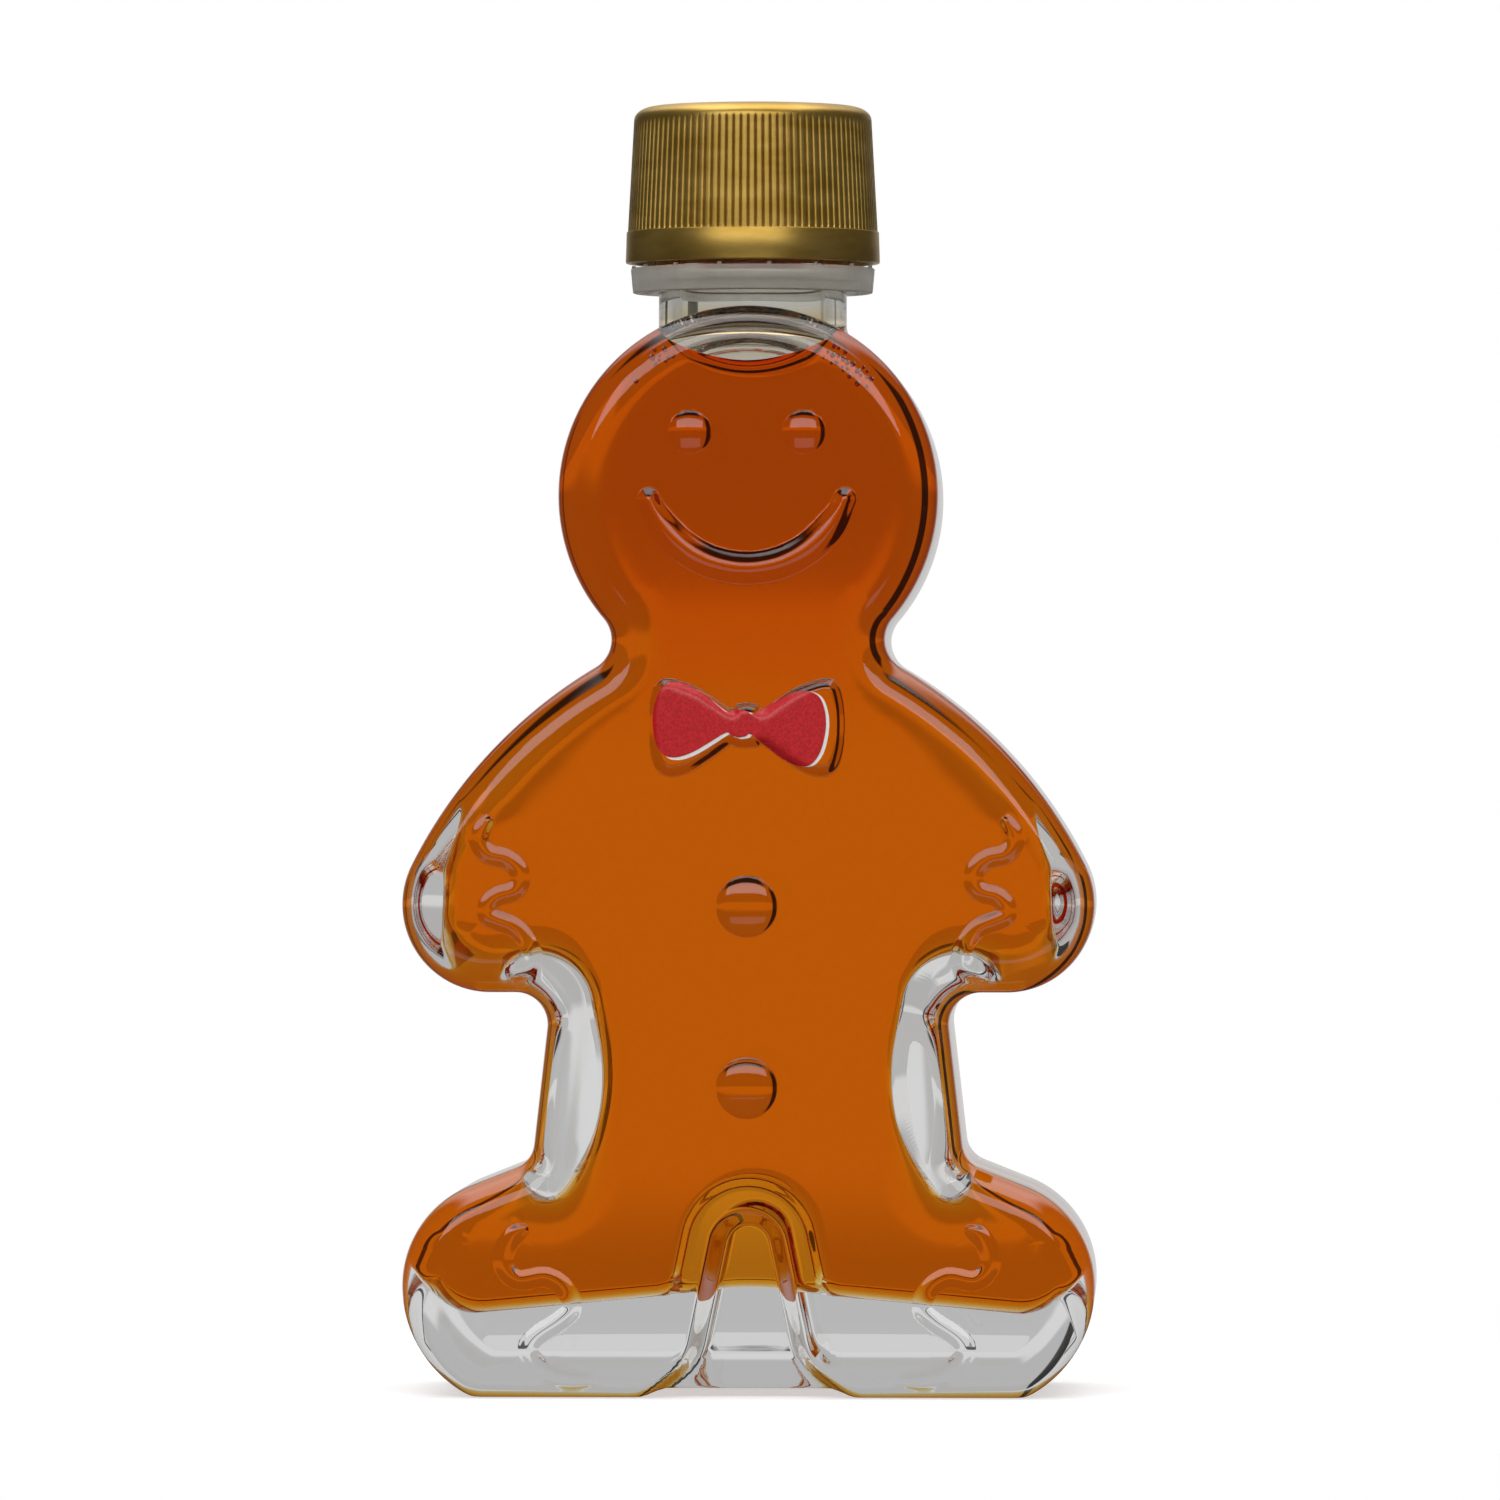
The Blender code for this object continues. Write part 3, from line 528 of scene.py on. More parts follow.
def relief(x, z):
    """How far the front stands proud of its flat face."""
    height = np.zeros(x.shape)
    for path, radii, top, roundness in RIDGES:
        away = 1 - np.clip(to_path(x, z, path, radii), 0, 1)
        dome = roundness * (1 - away ** 2) + (1 - roundness) * (1 - away ** 10)
        rise = top * (dome if roundness else (1 - away ** 2) ** 1.5)
        height = np.maximum(height, rise)
    near = (abs(x) < TIE_REACH) & (abs(z - TIE_Z) < TIE_HALF_HEIGHT)
    t = np.zeros(x.shape)
    t[near] = inside_by(x[near], z[near], TIE_LOOP) / TIE_SLOPE
    return np.maximum(height, TIE_RISE * np.sin(np.clip(t, 0, 1) * math.pi / 2))


def squeeze(x, z, wall, slope, start):
    """How far the recess between the legs pushes a face in."""
    depth = np.zeros(x.shape)
    near = z < NOTCH_TOP_Z + NOTCH_TOP_RADIUS + wall + 0.006
    depth[near] = NOTCH_DEPTH * eased((inside_by(x[near], z[near], NOTCH_LOOP) + wall + start) / slope)
    return depth


def shape_outside(points, normals):
    """Gives the plain slab its raised details, the recess between the legs and its flat soles."""
    x, y, z = points.T
    depth = squeeze(x, z, 0.0, NOTCH_SLOPE, NOTCH_ROUND)
    proud = np.zeros(x.shape)
    front = normals[:, 1] < -0.05
    proud[front] = relief(x[front], z[front]) * eased((-normals[front, 1] - 0.05) / 0.4)
    y = y * (1 - depth / (DEPTH / 2))
    spots = np.column_stack((x, y, z)) + normals * proud[:, None]
    web = WEB_LIFT * eased((HEEL_X - abs(x)) / WEB_BLEND)
    spots[:, 2] = np.maximum(spots[:, 2], web)
    return spots


def shape_inside(points, normals):
    """The same recess, further off and softer, and less glass before the face than elsewhere."""
    x, y, z = points.T
    half = DEPTH / 2 - BODY_FACE_WALL
    depth = squeeze(x, z, NOTCH_WALL, NOTCH_INNER_SLOPE, NOTCH_ROUND)
    deeper = (BODY_FACE_WALL - HEAD_FACE_WALL) * eased((z - INNER_HEAD_Z) / INNER_HEAD_BLEND)
    return np.column_stack((x, y * (1 + (deeper - depth) / half), z))


def rim():
    """(depth share, inset share, tilt) along the rounded edge, evenly spaced."""
    samples = 4000
    turns = np.linspace(0, math.pi / 2, samples)
    depth = np.sin(turns) ** (2 / EDGE_POWER)
    inset = 1 - np.abs(np.cos(turns)) ** (2 / EDGE_POWER)
    across, out = np.gradient(depth), np.gradient(inset)
    tilt = np.unwrap(np.arctan2(out, across))
    walked = np.cumsum(np.hypot(across, out) + np.abs(np.gradient(tilt)) * 0.6)
    stops = np.linspace(walked[0], walked[-1], RIM_ROWS + 1)
    picks = np.interp(stops, walked, np.arange(samples)).round().astype(int)
    return [(depth[k], inset[k], tilt[k]) for k in picks]


def hex_grid(low, high, spacing):
    """Points of a triangular grid over a box."""
    rows = np.arange(low[1], high[1], spacing * 0.866)
    columns = np.arange(low[0], high[0], spacing)
    x, z = np.meshgrid(columns, rows)
    x[1::2] += spacing / 2
    return x.ravel(), z.ravel()


def beside(path, radii):
    """Points in rows beside a path and round its ends, so that edges of the mesh follow the ridge."""
    shares = (0.0, 0.2, 0.4, 0.6, 0.75, 0.86, 0.94, 0.98, 1.0, 1.03, 1.15)
    steps = np.hypot(*np.diff(path, axis=0).T)
    walked = np.concatenate(([0.0], np.cumsum(steps)))
    spots = [path[:1], path[-1:]]
    count = int(walked[-1] / FINE)
    if count > 2:
        at = np.linspace(0, walked[-1], count + 1)
        x, z, half = (np.interp(at, walked, values) for values in (path[:, 0], path[:, 1], radii))
        along = np.column_stack((np.gradient(x), np.gradient(z)))
        along /= np.hypot(*along.T)[:, None]
        aside = np.column_stack((-along[:, 1], along[:, 0]))
        for share in shares:
            for side in (-1, 1):
                spots.append(np.column_stack((x, z)) + aside * (half * share * side)[:, None])
    turns = np.linspace(0, 2 * math.pi, 40 if count > 2 else 72, endpoint=False)
    ring = np.column_stack((np.cos(turns), np.sin(turns)))
    for end, half in ((path[0], radii[0]), (path[-1], radii[-1])):
        for share in shares[1:]:
            spots.append(end + ring * half * share)
    return np.concatenate(spots)


def front_points():
    """Where the front face needs fine steps: at its ridges, domes, bow tie and recess."""
    found = [beside(path, radii) for path, radii, top, roundness in RIDGES]
    found += [TIE_LOOP + TIE_NORMALS * offset for offset in TIE_ROWS]
    return np.concatenate(found + [back_points()])


def back_points():
    """The back face only has the recess."""
    return np.concatenate([NOTCH_LOOP + NOTCH_NORMALS * offset for offset in NOTCH_ROWS])


def inner_points():
    """The hollow's softer recess."""
    return np.concatenate([NOTCH_LOOP + NOTCH_NORMALS * offset for offset in INNER_NOTCH_ROWS])


def thinned(spots, least):
    """Leaves out points that crowd an earlier one."""
    cells = np.floor(spots / least).astype(int)
    _, first = np.unique(cells, axis=0, return_index=True)
    return spots[np.sort(first)]


def fill_face(loop, extra):
    """Triangles over a closed loop of (x, z), through a coarse grid and these extra points."""
    x, z = hex_grid(loop.min(0), loop.max(0), COARSE)
    far = np.ones(x.shape, bool)
    if len(extra):
        cells = set(map(tuple, np.floor(extra / COARSE).astype(int)))
        far = np.array([(int(a // COARSE), int(b // COARSE)) not in cells for a, b in zip(x, z)])
    spots = np.column_stack((x[far], z[far]))
    if len(extra):
        spots = np.concatenate((spots, thinned(extra, CROWDED)))
    spots = spots[inside_by(spots[:, 0], spots[:, 1], loop) > STEP / 3]
    points = [Vector(p) for p in np.concatenate((loop, spots)).tolist()]
    count = len(loop)
    edges = [(i, (i + 1) % count) for i in range(count)]
    verts, _, faces, origins, _, _ = delaunay_2d_cdt(points, edges, [], 1, 1e-7)
    return [v.to_tuple() for v in verts], faces, origins


def slab(name, rounds, half_depth, edge, draft, extras, shape):
    """A closed plate of the outline with round edges; extras are (front, back) points of its faces."""
    points, normals = outline(rounds)
    radii = edge(points[:, 0], points[:, 1])
    lean = draft(points[:, 0], points[:, 1]) / 2
    bends = [[(side, depth, inset, tilt) for depth, inset, tilt in rim()] for side in (-1, 1)]
    rows = bends[0][::-1] + [(0, 0.0, 0.0, 0.0)] + bends[1]
    verts, tilts, faces = [], [], []
    for side, depth, inset, tilt in rows:
        drawn = points - normals * (radii * inset + (lean if side else -lean))[:, None]
        along = side * (half_depth - radii + radii * depth)
        verts.append(np.column_stack((drawn[:, 0], along, drawn[:, 1])))
        out = math.cos(tilt)
        facing = np.full(len(drawn), side * math.sin(tilt))
        tilts.append(np.column_stack((normals[:, 0] * out, facing, normals[:, 1] * out)))
    count = len(points)
    for row in range(len(rows) - 1):
        for i in range(count):
            j = (i + 1) % count
            a, b = row * count, (row + 1) * count
            faces.append((a + i, a + j, b + j, b + i))
    loop = points - normals * (radii + lean)[:, None]
    total = len(rows) * count
    for side, extra in ((-1, extras[0]), (1, extras[1])):
        flat, triangles, origins = fill_face(loop, extra)
        first = 0 if side < 0 else (len(rows) - 1) * count
        places = []
        new = []
        for spot, source in zip(flat, origins):
            on_loop = [s for s in source if s < count]
            if on_loop:
                places.append(first + on_loop[0])
            else:
                places.append(total + len(new))
                new.append((spot[0], side * half_depth, spot[1]))
        verts.append(np.array(new))
        tilts.append(np.tile((0.0, float(side), 0.0), (len(new), 1)))
        total += len(new)
        faces.extend(tuple(places[i] for i in triangle) for triangle in triangles)
    spots = shape(np.concatenate(verts), np.concatenate(tilts))
    return solid(name, spots.tolist(), faces)


def solid(name, verts, faces, sharp=math.radians(60)):
    """A closed mesh object, its faces pointing out, shaded smooth."""
    shape = bmesh.new()
    made = [shape.verts.new(v) for v in verts]
    for face in faces:
        if len(set(face)) == len(face):
            shape.faces.new([made[i] for i in face])
    bmesh.ops.remove_doubles(shape, verts=shape.verts, dist=1e-7)
    bmesh.ops.recalc_face_normals(shape, faces=shape.faces)
    mesh = bpy.data.meshes.new(name)
    shape.to_mesh(mesh)
    shape.free()
    mesh.shade_smooth()
    mesh.set_sharp_from_angle(angle=sharp)
    piece = bpy.data.objects.new(name, mesh)
    bpy.context.scene.collection.objects.link(piece)
    return piece


def revolve(name, profile, steps=AROUND, radius_at=None, sharp=math.radians(60), closed=False):
    """A profile of (radius, z) turned about Z. radius_at(angle, radius, z) may ripple it."""
    verts, faces = [], []
    for radius, z in profile:
        for k in range(steps):
            angle = 2 * math.pi * k / steps
            r = radius_at(angle, radius, z) if radius_at else radius
            verts.append((r * math.cos(angle), r * math.sin(angle), z))
    count = len(profile)
    for row in range(count if closed else count - 1):
        for k in range(steps):
            j = (k + 1) % steps
            a, b = row * steps, ((row + 1) % count) * steps
            faces.append((a + k, a + j, b + j, b + k))
    if not closed:
        faces.append(tuple(range(steps)))
        faces.append(tuple(range((count - 1) * steps, count * steps)))
    return solid(name, verts, faces, sharp)


def arc(x, z, radius, start, end, steps=6):
    """Points of an arc in a profile, by angles in degrees."""
    turns = np.radians(np.linspace(start, end, steps + 1))
    return [(x + radius * math.cos(t), z + radius * math.sin(t)) for t in turns]


def boolean(piece, operation, *others):
    """Joins or cuts for good, and removes the other shapes."""
    for other in others:
        step = piece.modifiers.new("join", "BOOLEAN")
        step.operation = operation
        step.solver = "EXACT"
        step.object = other
        seen = piece.evaluated_get(bpy.context.evaluated_depsgraph_get())
        mesh = bpy.data.meshes.new_from_object(seen)
        piece.modifiers.clear()
        old = piece.data
        piece.data = mesh
        bpy.data.meshes.remove(old)
        bpy.data.objects.remove(other)
    return piece


def helix(name, buried, crest, first_z):
    """A screw ridge between two radii that rises out of its wall at both ends."""
    steps = 72
    fade = 9
    last = round(THREAD_TURNS * steps)
    verts, faces = [], []
    for k in range(last + 1):
        angle = 2 * math.pi * k / steps
        middle = first_z + THREAD_PITCH * k / steps
        rise = float(eased(min(k + 1, last - k + 1) / fade))
        top = buried + (crest - buried) * rise
        corners = ((buried, -THREAD_BASE), (top, -THREAD_TOP), (top, THREAD_TOP), (buried, THREAD_BASE))
        for r, up in corners:
            verts.append((r * math.cos(angle), r * math.sin(angle), middle + up / 2))
    for k in range(last):
        a = 4 * k
        for i in range(4):
            j = (i + 1) % 4
            faces.append((a + i, a + j, a + 4 + j, a + 4 + i))
    faces.append((0, 1, 2, 3))
    faces.append((4 * last, 4 * last + 1, 4 * last + 2, 4 * last + 3))
    return solid(name, verts, faces, math.radians(30))


def neck():
    """The neck from inside the head to the lip."""
    flare_z = HEAD_TOP_Z - NECK_FLARE_DROP
    top = BEAD_Z + BEAD_HEIGHT
    foot_z = HEAD_Z + HEAD_RADIUS / 2
    profile = [(AXIS_GAP, LIP_Z)]
    profile += arc(THREAD_ROOT - LIP_CORNER, LIP_Z - LIP_CORNER, LIP_CORNER, 90, 0)
    profile += [(THREAD_ROOT, top + LIP_CORNER)]
    profile += arc(BEAD_RADIUS - NECK_CORNER, top - NECK_CORNER, NECK_CORNER, 60, 0, 4)
    profile += arc(BEAD_RADIUS - NECK_CORNER, BEAD_Z + NECK_CORNER, NECK_CORNER, 0, -90, 4)
    profile += arc(NECK_RADIUS + NECK_CORNER, BEAD_Z - NECK_CORNER, NECK_CORNER, 90, 180, 4)
    profile += [(NECK_RADIUS, flare_z + 0.001)]
    profile += arc(NECK_RADIUS + NECK_FLARE, flare_z, NECK_FLARE, 180, 245, 8)
    profile += [(NECK_RADIUS, foot_z), (AXIS_GAP, foot_z)]
    return revolve("neck", profile)


class Tree:
    """The nodes of a material or a world, and short ways to add more."""

    def __init__(self, owner):
        owner.use_nodes = True
        self.nodes = owner.node_tree.nodes
        self.links = owner.node_tree.links

    def put(self, node, values):
        """Links or sets inputs of a node, by name or number."""
        for name, value in values.items():
            if isinstance(value, bpy.types.NodeSocket):
                self.links.new(value, node.inputs[name])
            else:
                node.inputs[name].default_value = value

    def add(self, kind, values, **settings):
        """A new node with these inputs and settings."""
        node = self.nodes.new("ShaderNode" + kind)
        for name, value in settings.items():
            setattr(node, name, value)
        self.put(node, values)
        return node

    def place(self):
        """The place in the object's own coordinates."""
        return self.add("TexCoord", {}).outputs["Object"]

    def maths(self, operation, *values):
        """A Math node over numbers and sockets."""
        return self.add("Math", dict(enumerate(values)), operation=operation).outputs[0]

    def times(self, *values):
        """The product of numbers and sockets."""
        made = values[0]
        for value in values[1:]:
            made = self.maths("MULTIPLY", made, value)
        return made

    def ramp(self, value, start, end, low=0.0, high=1.0):
        """A smooth step of a socket from low to high."""
        limits = {"Value": value, "From Min": start, "From Max": end, "To Min": low, "To Max": high}
        return self.add("MapRange", limits, interpolation_type="SMOOTHSTEP").outputs["Result"]

    def by_ray(self, value, *cases):
        """A value by the kind of ray: cases are (ray output, number or socket), the last one wins."""
        path = self.add("LightPath", {})
        for ray, other in cases:
            value = self.add("Mix", {0: path.outputs[ray], 2: value, 3: other}).outputs[0]
        return value


def material(name):
    """A new Principled material, its nodes and its shader."""
    made = bpy.data.materials.new(name)
    tree = Tree(made)
    return made, tree, tree.nodes["Principled BSDF"]


def glass_material(name, ior):
    """Clear glass, a little cloudy and warmer at the neck; on the wet side ior is glass to syrup."""
    made, tree, shader = material(name)
    place = tree.place()
    cloud = tree.add("TexNoise", {"Scale": 90.0, "Vector": place}).outputs["Fac"]
    height = tree.add("SeparateXYZ", {0: place}).outputs["Z"]
    height = tree.maths("MULTIPLY_ADD", cloud, 0.003, height)
    limits = {"Value": height, "From Min": TINT_LOW_Z, "From Max": TINT_HIGH_Z}
    share = tree.add("MapRange", limits).outputs["Result"]
    tint = tree.add("ValToRGB", {"Fac": share})
    stops = tint.color_ramp.elements
    for stop, (position, colour) in zip(stops, TINT_STOPS):
        stop.position, stop.color = position, colour
    for position, colour in TINT_STOPS[2:]:
        stops.new(position).color = colour
    finish = {"Base Color": tint.outputs["Color"], "Roughness": 0.0, "IOR": ior, "Transmission Weight": 1.0}
    tree.put(shader, finish)
    return made


def syrup_material(name, ior):
    """Amber by absorption alone, so thin places are yellow and thick ones orange."""
    made, tree, shader = material(name)
    tree.put(shader, {"Base Color": (1, 1, 1, 1), "Roughness": 0.0, "IOR": ior, "Transmission Weight": 1.0})
    absorption = tree.add("VolumeAbsorption", {"Color": SYRUP_COLOUR, "Density": SYRUP_DENSITY})
    tree.put(tree.nodes["Material Output"], {"Volume": absorption.outputs["Volume"]})
    return made


glass = glass_material("clear_glass", GLASS_IOR)
wet_glass = glass_material("glass_against_syrup", GLASS_IOR / SYRUP_IOR)
syrup_side = syrup_material("syrup", 1.0)
syrup_top = syrup_material("syrup_surface", SYRUP_IOR)

face_points = (front_points(), back_points())
outside = slab("glass_bottle", outer_rounds(), DEPTH / 2, outer_edge, no_draft, face_points, shape_outside)
outside.data.materials.append(glass)
outside.data.materials.append(wet_glass)
thread = helix("neck_thread", THREAD_ROOT - 0.0003, THREAD_ROOT + THREAD_DEPTH, THREAD_Z)
boolean(outside, "UNION", neck(), thread)

half = DEPTH / 2 - BODY_FACE_WALL
face_points = (inner_points(), inner_points())
hollow = slab("hollow", inner_rounds(), half, inner_edge, inner_draft, face_points, shape_inside)
bore_top = LIP_Z + 0.001
bore_rows = [(AXIS_GAP, bore_top), (BORE_RADIUS, bore_top), (BORE_RADIUS, HEAD_Z), (AXIS_GAP, HEAD_Z)]
bore = revolve("bore", bore_rows)
boolean(hollow, "UNION", bore)


def bowl(shape, sign):
    """Bends a mesh so that the syrup's bowl-shaped surface is flat, or back."""
    for vert in shape.verts:
        creep = FILL_CREEP * min(1.0, abs(vert.co.y) / (DEPTH / 2 - HEAD_FACE_WALL)) ** FILL_CREEP_POWER
        vert.co.z -= sign * (FILL_BOWL * vert.co.x ** 2 + creep)


def cut_at_fill(piece, keep_below, inset=0.0):
    """Cuts a mesh at the syrup's surface; may drop and cap what is above it."""
    shape = bmesh.new()
    shape.from_mesh(piece.data)
    if inset:
        shape.normal_update()
        shifts = [(vert, vert.normal * inset) for vert in shape.verts]
        for vert, shift in shifts:
            vert.co -= shift
    bowl(shape, 1)
    geometry = list(shape.verts) + list(shape.edges) + list(shape.faces)
    plane = (0, 0, FILL_Z)
    bmesh.ops.bisect_plane(
        shape, geom=geometry, plane_co=plane, plane_no=(0, 0, 1), dist=1e-7, clear_outer=keep_below
    )
    if keep_below:
        rim_edges = [e for e in shape.edges if e.is_boundary]
        made = bmesh.ops.holes_fill(shape, edges=rim_edges, sides=0)
        for edge in rim_edges:
            edge.smooth = False
        cuts = [((x, 0, 0), (1, 0, 0)) for x in np.arange(*SURFACE_XS)]
        cuts += [((0, y, 0), (0, 1, 0)) for y in np.linspace(-SURFACE_REACH, SURFACE_REACH, SURFACE_LINES)]
        for place, facing in cuts:
            top = [f for f in shape.faces if f.calc_center_median().z > FILL_Z - 1e-6]
            edges = {e for f in top for e in f.edges}
            geometry = list({v for f in top for v in f.verts}) + list(edges) + top
            bmesh.ops.bisect_plane(shape, geom=geometry, plane_co=place, plane_no=facing, dist=1e-7)
    for face in shape.faces:
        low = face.calc_center_median().z
        if keep_below:
            face.material_index = 1 if low > FILL_Z - 1e-6 else 0
            face.smooth = True
        else:
            face.material_index = 1 if low < FILL_Z else 0
    bowl(shape, -1)
    if keep_below:
        bubbles(shape)
    shape.to_mesh(piece.data)
    shape.free()


def bubbles(shape):
    """Small air bubbles that cling to the front wall under the surface."""
    chance = random.Random(11)
    placed = []
    half = DEPTH / 2 - HEAD_FACE_WALL
    for low, high, count in BUBBLE_ARCS:
        for k in range(count):
            for attempt in range(BUBBLE_TRIES):
                radius = chance.uniform(*BUBBLE_SIZES)
                turn = math.radians(chance.uniform(low, high))
                wall = chance.uniform(*BUBBLE_WALLS)
                reach = HEAD_RADIUS - HEAD_WALL - wall
                x = reach * math.sin(turn)
                z = HEAD_Z + reach * math.cos(turn)
                back = HEAD_EDGE * (1 - math.sqrt(1 - max(0.0, 1 - wall / HEAD_EDGE) ** 2))
                y = -(half - back - radius - BUBBLE_GAP)
                clear = all((x - a) ** 2 + (z - b) ** 2 > (radius + r) ** 2 for a, b, r in placed)
                if clear and z + radius < FILL_Z + FILL_BOWL * x * x - BUBBLE_DEPTH:
                    placed.append((x, z, radius))
                    break
            else:
                continue
            spot = Matrix.Translation((x, y, z))
            ball = bmesh.ops.create_icosphere(shape, subdivisions=2, radius=radius, matrix=spot)
            faces = {f for v in ball["verts"] for f in v.link_faces}
            for face in faces:
                face.smooth = True
                face.material_index = 1
            bmesh.ops.reverse_faces(shape, faces=list(faces))


syrup = bpy.data.objects.new("amber_syrup", hollow.data.copy())
bpy.context.scene.collection.objects.link(syrup)
syrup.data.materials.clear()
syrup.data.materials.append(syrup_side)
syrup.data.materials.append(syrup_top)
cut_at_fill(syrup, True, WET_GAP)
hollow.data.materials.clear()
hollow.data.materials.append(glass)
hollow.data.materials.append(wet_glass)
cut_at_fill(hollow, False)
boolean(outside, "DIFFERENCE", hollow)
for piece in (outside, syrup):
    piece.data.shade_smooth()
    piece.data.set_sharp_from_angle(angle=math.radians(50))
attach(outside, "bottle")
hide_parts("bottle_glass")
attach(syrup, "bottle")
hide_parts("syrup")


def mottled(name, dark, light, scale, roughness, metallic=0.0, stretch=(1, 1, 1)):
    """An opaque finish that wanders between two colours."""
    made, tree, shader = material(name)
    place = tree.add("Mapping", {"Scale": stretch, "Vector": tree.place()}).outputs["Vector"]
    noise = tree.add("TexNoise", {"Scale": scale, "Detail": 3.0, "Vector": place})
    blend = tree.add("ValToRGB", {"Fac": noise.outputs["Fac"]})
    for stop, position, colour in zip(blend.color_ramp.elements, (0.35, 0.65), (dark, light)):
        stop.position, stop.color = position, (*colour, 1)
    colour = blend.outputs["Color"]
    tree.put(shader, {"Base Color": colour, "Roughness": roughness, "Metallic": metallic})
    return made


def pale_plastic():
    """The band's milky plastic, which lets light through."""
    made = mottled("pale_plastic", (0.88, 0.86, 0.78), (0.96, 0.94, 0.87), 600.0, 0.5)
    shader = made.node_tree.nodes["Principled BSDF"]
    shader.inputs["Transmission Weight"].default_value = 0.85
    shader.inputs["IOR"].default_value = 1.3
    return made


def ink(name, shift, turn, gap):
    """A printed bow tie that follows the raised plate, a thin closed sheet."""
    loop, normals = bow(TIE_PRINT, shift, turn)
    rows = [loop - normals * inset for inset in INK_ROWS]
    grid = np.column_stack(hex_grid(loop.min(0), loop.max(0), INK_STEP))
    flat, triangles, origins = fill_face(loop, np.concatenate(rows + [grid]))
    spots = np.array(flat)
    front = -(DEPTH / 2 + relief(spots[:, 0], spots[:, 1]) + gap)
    verts = [(x, y, z) for (x, z), y in zip(flat, front)]
    verts += [(x, y - INK_THICKNESS, z) for x, y, z in verts]
    count = len(flat)
    faces = [tuple(t) for t in triangles] + [tuple(i + count for i in t) for t in triangles]
    place = {source: k for k, sources in enumerate(origins) for source in sources if source < len(loop)}
    for i in range(len(loop)):
        a, b = place[i], place[(i + 1) % len(loop)]
        faces.append((a, b, b + count, a + count))
    return solid(name, verts, faces, math.radians(40))


def cap_profile():
    """Rows of the cap's outside, bottom to top: (radius, z, share of the grooves' depth)."""
    rows = [(SKIRT_RADIUS - 0.0002, SKIRT_Z, 0.0), (SKIRT_RADIUS - 0.00006, SKIRT_Z + 0.00006, 0.0)]
    rows += [(SKIRT_RADIUS, SKIRT_Z + 0.0002, 0.0), (SKIRT_TOP_RADIUS, SKIRT_TOP_Z - 0.0001, 0.0)]
    rows.append((SKIRT_TOP_RADIUS - 0.00004, SKIRT_TOP_Z - 0.00002, 0.0))
    rows.append((RIB_BOTTOM_RADIUS + 0.00008, SKIRT_TOP_Z, 0.0))
    shoulder = CAP_TOP_Z - CAP_TOP_DROP
    for share, depth in GROOVE_DEPTHS:
        z = SKIRT_TOP_Z + (shoulder - SKIRT_TOP_Z) * share
        rows.append((RIB_BOTTOM_RADIUS + (RIB_TOP_RADIUS - RIB_BOTTOM_RADIUS) * share, z, depth))
    for k in range(1, 9):
        turn = math.pi / 2 * k / 8
        radius = RIB_TOP_RADIUS - CAP_TOP_ROUND * (1 - math.cos(turn))
        rows.append((radius, shoulder + CAP_TOP_DROP * math.sin(turn), 0.0))
    return rows


def screw_cap():
    """The cap: smooth skirt, ribs with fine grooves between, round shoulder, thread inside."""
    rows = cap_profile()
    depth_at = {z: depth for radius, z, depth in rows}

    def ribbed(angle, radius, z):
        if radius < RIB_TOP_RADIUS / 2:
            return radius
        phase = abs((angle * RIB_COUNT / (2 * math.pi) + 0.5) % 1 - 0.5) * 2
        return radius - RIB_HEIGHT * depth_at[z] * phase ** RIB_POWER

    middle = 0.0005
    profile = [(middle, SKIRT_Z)] + [(radius, z) for radius, z, depth in rows] + [(middle, CAP_TOP_Z)]
    cap = revolve("cap_shell", profile, RIB_COUNT * 12, ribbed, math.radians(50))
    bore = SKIRT_RADIUS - SKIRT_WALL
    mouth = SKIRT_Z - 0.001
    step = SKIRT_Z + SKIRT_BORE_HEIGHT
    inside = [(middle, mouth), (bore, mouth), (bore, step), (CAP_BORE, step + bore - CAP_BORE)]
    inside += [(CAP_BORE, CAP_ROOF_Z), (middle, CAP_ROOF_Z)]
    boolean(cap, "DIFFERENCE", revolve("cap_inside", inside))
    first = THREAD_Z - THREAD_PITCH / 2
    boolean(cap, "UNION", helix("cap_thread", CAP_BORE + 0.0003, CAP_BORE - CAP_THREAD_DEPTH, first))
    return cap


def tamper_band():
    """The band under the cap with the stubs of its bridges."""
    round_off = 0.0002
    profile = [(BAND_BORE, BAND_TOP_Z)]
    profile += arc(BAND_TOP_RADIUS - round_off, BAND_TOP_Z - round_off, round_off, 90, 0, 3)
    profile += arc(BAND_BOTTOM_RADIUS - round_off, BAND_BOTTOM_Z + round_off, round_off, 0, -90, 3)
    profile += [(BAND_CATCH_RADIUS, z) for z in (BAND_BOTTOM_Z, BAND_LIP_Z)]
    profile += [(BAND_BORE, BAND_LIP_Z)]
    band = revolve("band_ring", profile, AROUND, None, math.radians(40), True)
    for k in range(BRIDGE_COUNT):
        turn = BRIDGE_START + 2 * math.pi * k / BRIDGE_COUNT
        stub = revolve(f"stub_{k}", [BRIDGE_FOOT, BRIDGE_TOP], 10)
        middle = BAND_BORE + 0.0005
        stub.data.transform(Matrix.Translation((middle * math.cos(turn), middle * math.sin(turn), 0)))
        boolean(band, "UNION", stub)
    return band


def dress(piece, body, node, finish):
    """Gives a piece its finish, slot and body, and hides the CAD node it stands for."""
    piece.data.materials.clear()
    piece.data.materials.append(finish)
    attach(piece, body)
    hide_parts(node)


